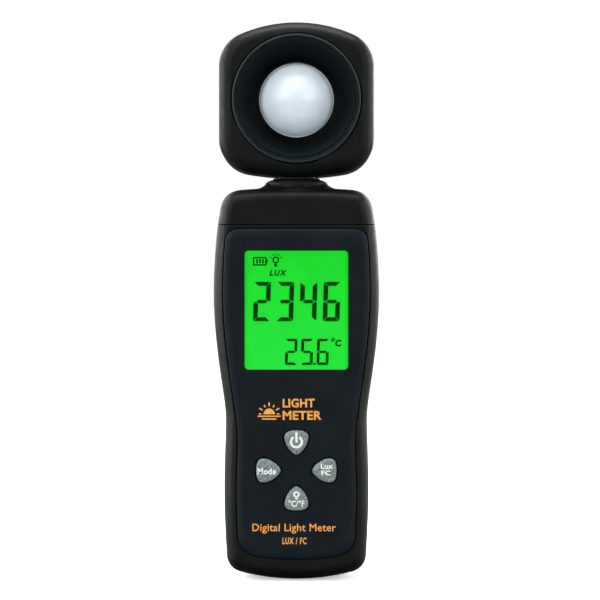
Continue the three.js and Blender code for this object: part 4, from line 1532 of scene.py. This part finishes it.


# %% [markdown]
# Plastics
# The case is black plastic with a fine spark-eroded grain, which keeps it matt. The panel is smoother,
# a shade lighter and a little bluer. The bowl's colour is blended by the distance from its middle: painted
# shade makes it blackest round the dome, where little light gets in, it grows paler out to its lip, and a
# thin painted highlight rings the lip. The dome is milky: light goes a little way into it, and a faint glow
# stands for the light that it spreads inside itself.
# The keys are grey silicone with pale specks in it.

# %% Case, panel, bowl, dome and keys
# The paler, smoother edges given to the case, the panel and the bowl are part wear and part painted
# highlight.
case_finish = (
    Finish("case_black", rough=0.5, specular=0.12)
    .drift(linear(7, 11, 9), linear(11, 16, 14), 7)
    .uneven(3, 0.05)
    .rubbed_and_highlit(0.5, linear(52, 57, 54), 0.36, 0.4)
    .relief(0.22, 0.012, 0.55)
    .done()
)
panel_finish = (
    Finish("panel_black", rough=0.46, specular=0.1)
    .drift(linear(14, 20, 25), linear(18, 25, 31), 9)
    .uneven(4, 0.04)
    .rubbed_and_highlit(0.35, linear(54, 60, 60), 0.34, 0.4)
    .relief(0.12, 0.005, 0.5)
    .done()
)
bowl_look = Finish("bowl_black", rough=0.46, specular=0.03)
bowl_look.drift(linear(1, 2, 2), linear(3, 4, 5), 6)
across_bowl = bowl_look.node("ShaderNodeVectorMath", operation="MULTIPLY")
bowl_look.wire(bowl_look.place, across_bowl.inputs[0])
across_bowl.inputs[1].default_value = (1, 0, 1)
from_axis = bowl_look.node("ShaderNodeVectorMath", operation="DISTANCE")
bowl_look.wire(across_bowl.outputs["Vector"], from_axis.inputs[0])
from_axis.inputs[1].default_value = (0, 0, HEAD_MIDDLE * MM)
# Painted shade: darkest round the dome, where little light gets in, and paler out towards the lip.
painted_bowl_shade = bowl_look.share(from_axis.outputs["Value"], 12.8 * MM, 16.8 * MM)
bowl_look.colour = bowl_look.blend(painted_bowl_shade, bowl_look.colour, linear(15, 23, 25))
# Painted highlight: a thin pale ring on the lip.
lip = bowl_look.share(from_axis.outputs["Value"], 19 * MM, 19.5 * MM)
bowl_look.colour = bowl_look.blend(lip, bowl_look.colour, linear(48, 57, 56))
# The bowl's edges are made paler too, part wear and part painted highlight.
bowl_finish = (
    bowl_look.uneven(2.5, 0.06).rubbed_and_highlit(0.3, linear(70, 79, 81), 0.32, 0.8).relief(0.15, 0.006, 0.5).done()
)
stem_finish = (
    Finish("stem_black", rough=0.42, specular=0.06)
    .drift(linear(3, 5, 6), linear(6, 8, 10), 6)
    .uneven(2.5, 0.06)
    .relief(0.15, 0.006, 0.5)
    .done()
)
dome_look = Finish("dome_milky", rough=0.34, specular=0.5)
dome_look.shader.inputs["Subsurface Weight"].default_value = 0.35
dome_look.shader.inputs["Subsurface Radius"].default_value = (0.0016, 0.0018, 0.002)
dome_look.shader.inputs["Subsurface Scale"].default_value = 1
dome_look.shader.inputs["Emission Color"].default_value = (0.72, 0.9, 1, 1)
dome_look.shader.inputs["Emission Strength"].default_value = 0.14
dome_look.drift(linear(205, 214, 222), linear(214, 223, 231), 5)
dome_finish = dome_look.uneven(2, 0.05).relief(0.3, 0.004, 0.4).done()
key_finish = (
    Finish("key_silicone", rough=0.42, specular=0.4)
    .drift(linear(76, 90, 88), linear(146, 158, 155), 0.42, 4)
    .uneven(1.2, 0.06)
    .relief(0.25, 0.012, 0.5)
    .done()
)
legend_finish = (
    Finish("legend_white", rough=0.5)
    .drift(linear(226, 229, 226), linear(244, 246, 244), 0.4)
    .relief(0.15, 0.004, 0.4)
    .done()
)
print_finish = (
    Finish("print_orange", rough=0.52)
    .drift(linear(222, 134, 44), linear(246, 180, 88), 0.35, 4)
    .relief(0.12, 0.004, 0.4)
    .done()
)

# %% [markdown]
# The display's light
# The lit glass glows by itself, a strong green that is brightest low down, where the lamps of such a
# backlight sit, and falls off at the rim. Its figures are dark green, because a little of the light
# comes round them. The window over it is clear and smooth, with the faintest marks of handling.

# %% Lit glass, figures and window
glass_low, glass_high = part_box("display_glass")
lit_look = Finish("lit_green", rough=0.4, specular=0.08)
split = lit_look.node("ShaderNodeSeparateXYZ")
lit_look.wire(lit_look.place, split.inputs["Vector"])
height_share = lit_look.share(split.outputs["Z"], glass_low.z, glass_high.z)
lit_look.colour = lit_look.blend(height_share, linear(36, 236, 66), linear(24, 220, 40))
cloud_share = lit_look.share(lit_look.noise(9, 2), 0.3, 0.7, 0, 0.5)
lit_look.colour = lit_look.blend(cloud_share, lit_look.colour, linear(22, 240, 38))
across = lit_look.node("ShaderNodeMath", operation="ABSOLUTE")
lit_look.wire(split.outputs["X"], across.inputs[0])
rim_share = lit_look.share(across.outputs["Value"], 14.9 * MM, 16.3 * MM, 0, 0.55)
glow = lit_look.blend(rim_share, lit_look.colour, linear(6, 150, 14))
lit_look.wire(glow, lit_look.shader.inputs["Emission Color"])
lit_look.shader.inputs["Emission Strength"].default_value = 0.92
lit_look.colour = lit_look.blend(height_share, linear(14, 40, 18), linear(12, 34, 16))
lit_finish = lit_look.relief(0.4, 0.003, 0.3).done()

figure_look = Finish("figure_green", rough=0.5, specular=0.0)
figure_look.drift(linear(0, 40, 5), linear(1, 52, 8), 2)
figure_look.wire(figure_look.colour, figure_look.shader.inputs["Emission Color"])
figure_look.shader.inputs["Emission Strength"].default_value = 0.6
figure_finish = figure_look.done()

window_look = Finish("window_clear", rough=0.03)
window_look.shader.inputs["Transmission Weight"].default_value = 1
window_look.shader.inputs["IOR"].default_value = 1.17
window_look.drift(linear(246, 252, 247), linear(252, 255, 252), 6)
window_finish = window_look.uneven(4, 0.02).relief(6, 0.004, 0.2).done()

# %% [markdown]
# The inside
# What shows when the battery door opens, or through the gaps, gets its own finish too: nickel springs
# with drawn-wire streaks, steel screws with a turned sheen, cells in a two-coloured sleeve, a green board
# with its copper tracks under the lacquer, and the plain plastics and rubbers round them.

# %% Metals and rubbers
def metal(name, dark, light, rough, stretch=(1, 1, 1)):
    look = Finish(name, rough=rough, metallic=1)
    look.drift(dark, light, 1.2).uneven(0.8, 0.08).relief(0.2, 0.006, 0.4, stretch=stretch)
    return look.done()


def moulded(name, dark, light, rough, grain=0.2):
    look = Finish(name, rough=rough, specular=0.4)
    return look.drift(dark, light, 3).uneven(1.5, 0.06).relief(grain, 0.008, 0.5).done()


steel_finish = metal("screw_steel", linear(128, 130, 132), linear(168, 170, 172), 0.34)
nickel_finish = metal("contact_nickel", linear(176, 172, 162), linear(204, 201, 192), 0.27, (1, 1, 6))
white_finish = moulded("inner_white", linear(216, 216, 210), linear(228, 228, 223), 0.5)
grey_rubber_finish = moulded("mat_grey", linear(76, 86, 84), linear(92, 101, 99), 0.7, 0.4)
black_rubber_finish = moulded("rubber_black", linear(18, 18, 18), linear(28, 28, 28), 0.75, 0.3)
chip_finish = moulded("chip_black", linear(22, 22, 25), linear(32, 32, 36), 0.5, 0.12)
lead_finish = moulded("lead_jacket", linear(40, 40, 42), linear(54, 54, 57), 0.55, 0.5)
filter_finish = moulded("filter_green", linear(120, 164, 118), linear(138, 178, 134), 0.12, 0.8)


# %% Boards and cells
def board(name):
    """Green lacquer over copper: square-cornered tracks come from a cell pattern with straight edges."""
    look = Finish(name, rough=0.36, specular=0.5)
    tracks = look.node("ShaderNodeTexBrick")
    tracks.inputs["Scale"].default_value = 1 / (9 * MM)
    tracks.inputs["Mortar Size"].default_value = 0.035
    tracks.inputs["Color1"].default_value = linear(18, 74, 44)
    tracks.inputs["Color2"].default_value = linear(22, 84, 50)
    tracks.inputs["Mortar"].default_value = linear(58, 118, 62)
    upright = look.node("ShaderNodeMapping")
    upright.inputs["Rotation"].default_value = (math.radians(90), 0, 0)
    look.wire(look.place, upright.inputs["Vector"])
    look.wire(upright.outputs["Vector"], tracks.inputs["Vector"])
    look.colour = look.blend(
        look.share(look.noise(2, 3), 0.3, 0.7, 0, 0.35), tracks.outputs["Color"], linear(14, 60, 36)
    )
    look.uneven(1.5, 0.07).relief(0.6, 0.01, 0.4)
    return look.done()


board_finish = board("board_green")


GOLD_ABOVE = 46


def sleeve(name, node, turned_over):
    """A green sleeve with a gold plus end, which is the low end on a cell put in upside down."""
    low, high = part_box(node)
    gold_edge = low.z + high.z - GOLD_ABOVE * MM if turned_over else GOLD_ABOVE * MM
    look = Finish(name, rough=0.3, specular=0.5)
    parts = look.node("ShaderNodeSeparateXYZ")
    look.wire(look.place, parts.inputs["Vector"])
    band = look.share(parts.outputs["Z"], gold_edge - 0.05 * MM, gold_edge + 0.05 * MM)
    grain = look.share(look.noise(1.5, 3), 0.35, 0.65, 0, 0.6)
    green = look.blend(grain, linear(38, 96, 58), linear(46, 110, 66))
    gold = look.blend(grain, linear(176, 140, 74), linear(194, 160, 92))
    below, above = (gold, green) if turned_over else (green, gold)
    look.colour = look.blend(band, below, above)
    return look.uneven(2, 0.05).relief(1.8, 0.01, 0.3).done()


sleeve_finishes = {
    "cell_left": sleeve("sleeve_left", "cell_left", False),
    "cell_middle": sleeve("sleeve_middle", "cell_middle", True),
    "cell_right": sleeve("sleeve_right", "cell_right", False),
}
can_finish = metal("cell_can", linear(150, 152, 156), linear(182, 184, 188), 0.3)
print("finishes:", len(bpy.data.materials))

# %% [markdown]
# Dressing the pieces
# Each new piece is listed once: the body of the frame that it moves with, the frame's shapes that it
# stands for and its finish. A piece that moves with a key or with the door is
# listed with that body. Shading is smooth up to a small angle, so rounded edges flow and cut ones stay
# crisp.

# %% Piece, body, shapes, finish
SMOOTH_ANGLE = 32


def dress(piece, body, nodes, finish, angle=SMOOTH_ANGLE):
    alone(piece)
    bpy.ops.object.shade_smooth_by_angle(angle=math.radians(angle))
    even = piece.modifiers.new("Even shading", "WEIGHTED_NORMAL")
    even.keep_sharp = True
    bpy.ops.object.modifier_apply(modifier=even.name)
    piece.data.materials.clear()
    piece.data.materials.append(finish)
    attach(piece, body)
    if nodes:
        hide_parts(*nodes)


dress(front_shell, "root", ["front_shell"], case_finish)
dress(rear_shell, "root", ["rear_shell"], case_finish)
dress(top_cap, "root", ["top_cap"], case_finish)
dress(face_panel, "root", ["face_panel"], panel_finish)
dress(window, "root", ["display_window"], window_finish)
dress(lit_glass, "root", ["display_glass"], lit_finish)
dress(figures, "root", [], figure_finish)
dress(sun_print, "root", [], print_finish)
dress(words_print, "root", [], print_finish)
for node, key in keys.items():
    dress(key, node, [node], key_finish)
    dress(legends[node], node, [], legend_finish)
dress(head_front, "head", ["head_front_shell"], case_finish)
dress(head_rear, "head", ["head_rear_shell"], case_finish)
dress(bowl, "head", ["baffle_ring"], bowl_finish)
dress(dome, "head", ["diffuser_dome"], dome_finish)
dress(door, "door", ["battery_door"], case_finish)
for i, screw in enumerate(case_screws):
    dress(screw, "root", [f"case_screw_{i + 1}"], steel_finish)
for i, screw in enumerate(head_screws):
    dress(screw, "head", [f"head_screw_{i + 1}"], steel_finish)
for node, piece in cells.items():
    dress(piece, "root", [node], sleeve_finishes[node])
    piece.data.materials.append(can_finish)
    low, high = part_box(node)
    sleeve_radius = (CELL_RADIUS - 0.7) * MM
    for face in piece.data.polygons:
        out = Vector((face.center.x - (low.x + high.x) / 2, face.center.y - CELL_Y * MM)).length
        if out < sleeve_radius:
            face.material_index = 1
dress(negative_contact, "root", ["negative_contact"], nickel_finish)
dress(low_bridge, "root", ["low_bridge_contact"], nickel_finish)
dress(high_bridge, "root", ["high_bridge_contact"], nickel_finish)

# %% Finishes for the shapes that the frame already has right
FRAME_FINISHES = {
    "display_frame": white_finish,
    "backlight_panel": white_finish,
    "contact_strip": black_rubber_finish,
    "main_board": board_finish,
    "keypad_mat": grey_rubber_finish,
    "meter_chip": chip_finish,
    "amplifier_chip": chip_finish,
    "clock_crystal": steel_finish,
    "capacitor": steel_finish,
    "thermistor": chip_finish,
    "lead_socket": white_finish,
    "case_lead": lead_finish,
    "positive_contact": nickel_finish,
    "color_filter": filter_finish,
    "sensor_holder": stem_finish,
    "photodiode": steel_finish,
    "sensor_board": board_finish,
    "swivel_stem": stem_finish,
    "stop_collar": white_finish,
    "stem_clip": steel_finish,
    "friction_ring": black_rubber_finish,
    "head_lead": lead_finish,
}
for node, shape in frame["nodes"].items():
    finish = FRAME_FINISHES.get(node, steel_finish)
    if shape.hide_render:
        continue
    shape.data.materials.clear()
    shape.data.materials.append(finish)
print("frame shapes still shown:", sum(not o.hide_render for o in frame["nodes"].values()))

# %% [markdown]
# Clearing the bench
# The lines that the pieces were drawn from have done their work. What is left in the scene should be
# only the meter, the camera, the floor and the lamps.

# %% Removing the drawing lines
drawn = [piece for piece in bpy.context.scene.objects if piece.name.endswith("_line")]
throw_away(*drawn)
print("lines removed:", len(drawn))

# %% [markdown]
# Floor and light
# The setting is plain: a pale floor and soft light. Broad suns from the front, from above and from behind
# give the same light everywhere. Two tall soft boxes at the sides and one overhead draw the bright edges
# on the black case. No lamp stands where the flat front would mirror it into the lens, and none of them
# is seen by the camera. A white floor would also throw light up at the black case and wash it out, so
# the floor is pale only to the camera, and dark to every other ray. The sky is treated the same way.

# %% Floor
FLOOR_GLOW = 0.4

bpy.ops.mesh.primitive_plane_add(size=60, location=(0, 0, 0))
floor = bpy.context.active_object
floor.name = "floor"
floor_look = Finish("floor_pale", rough=0.8, specular=0.1)
floor_look.drift(linear(249, 249, 250), linear(252, 252, 252), 300)
straight_seen = floor_look.node("ShaderNodeLightPath").outputs["Is Camera Ray"]
floor_look.colour = floor_look.blend(straight_seen, linear(104, 105, 107), floor_look.colour)
floor_look.shader.inputs["Emission Color"].default_value = (1, 1, 1, 1)
floor_glow = floor_look.share(straight_seen, 0, 1, 0, FLOOR_GLOW)
floor_look.wire(floor_glow, floor_look.shader.inputs["Emission Strength"])
floor.data.materials.append(floor_look.done())


# %% Lamps
MIDDLE = (0, 0, 0.09)


def lamp(name, kind, place, energy, **settings):
    data = bpy.data.lights.new(name, kind)
    data.energy = energy
    for key, value in settings.items():
        setattr(data, key, value)
    light = bpy.data.objects.new(name, data)
    light.location = place
    light.rotation_mode = "QUATERNION"
    light.rotation_quaternion = (Vector(MIDDLE) - Vector(place)).to_track_quat("-Z", "Y")
    light.visible_camera = False
    bpy.context.scene.collection.objects.link(light)


# Each sun: where it shines from, how strong it is and how broad, in degrees.
for name, place, energy, broad in (
    ("key_sun", (-0.45, -1, 0.8), 0.9, 25),
    ("left_sun", (-0.8, -1, 0.2), 1.8, 40),
    ("right_sun", (0.8, -1, 0.2), 1.8, 40),
    ("high_sun", (0, 0.1, 2), 0.35, 60),
    ("back_left_sun", (-0.8, 1, 0.5), 1.6, 40),
    ("back_right_sun", (0.6, 1, 0.35), 2.2, 40),
):
    lamp(name, "SUN", place, energy, angle=math.radians(broad))

# Each soft box: where it stands, its power in watts, its width and its height.
for name, place, energy, width, height in (
    ("left_box", (-0.45, 0.05, 0.2), 3, 0.12, 0.5),
    ("right_box", (0.45, 0.05, 0.2), 2, 0.12, 0.5),
    ("top_box", (0, 0.02, 0.75), 7, 0.5, 0.3),
):
    lamp(name, "AREA", place, energy, shape="RECTANGLE", size=width, size_y=height)

# %% Sky
SKY_LIGHT = 0.12

world = bpy.data.worlds.new("studio")
bpy.context.scene.world = world
world.use_nodes = True
tree = world.node_tree
backdrop = tree.nodes["Background"]
backdrop.inputs["Color"].default_value = (1, 1, 1, 1)
backdrop.inputs["Strength"].default_value = 1
dim = tree.nodes.new("ShaderNodeBackground")
dim.inputs["Color"].default_value = (0.9, 0.91, 0.92, 1)
dim.inputs["Strength"].default_value = SKY_LIGHT
path = tree.nodes.new("ShaderNodeLightPath")
either = tree.nodes.new("ShaderNodeMixShader")
tree.links.new(path.outputs["Is Camera Ray"], either.inputs["Fac"])
tree.links.new(dim.outputs["Background"], either.inputs[1])
tree.links.new(backdrop.outputs["Background"], either.inputs[2])
tree.links.new(either.outputs["Shader"], tree.nodes["World Output"].inputs["Surface"])
bpy.context.scene.view_settings.view_transform = "Standard"
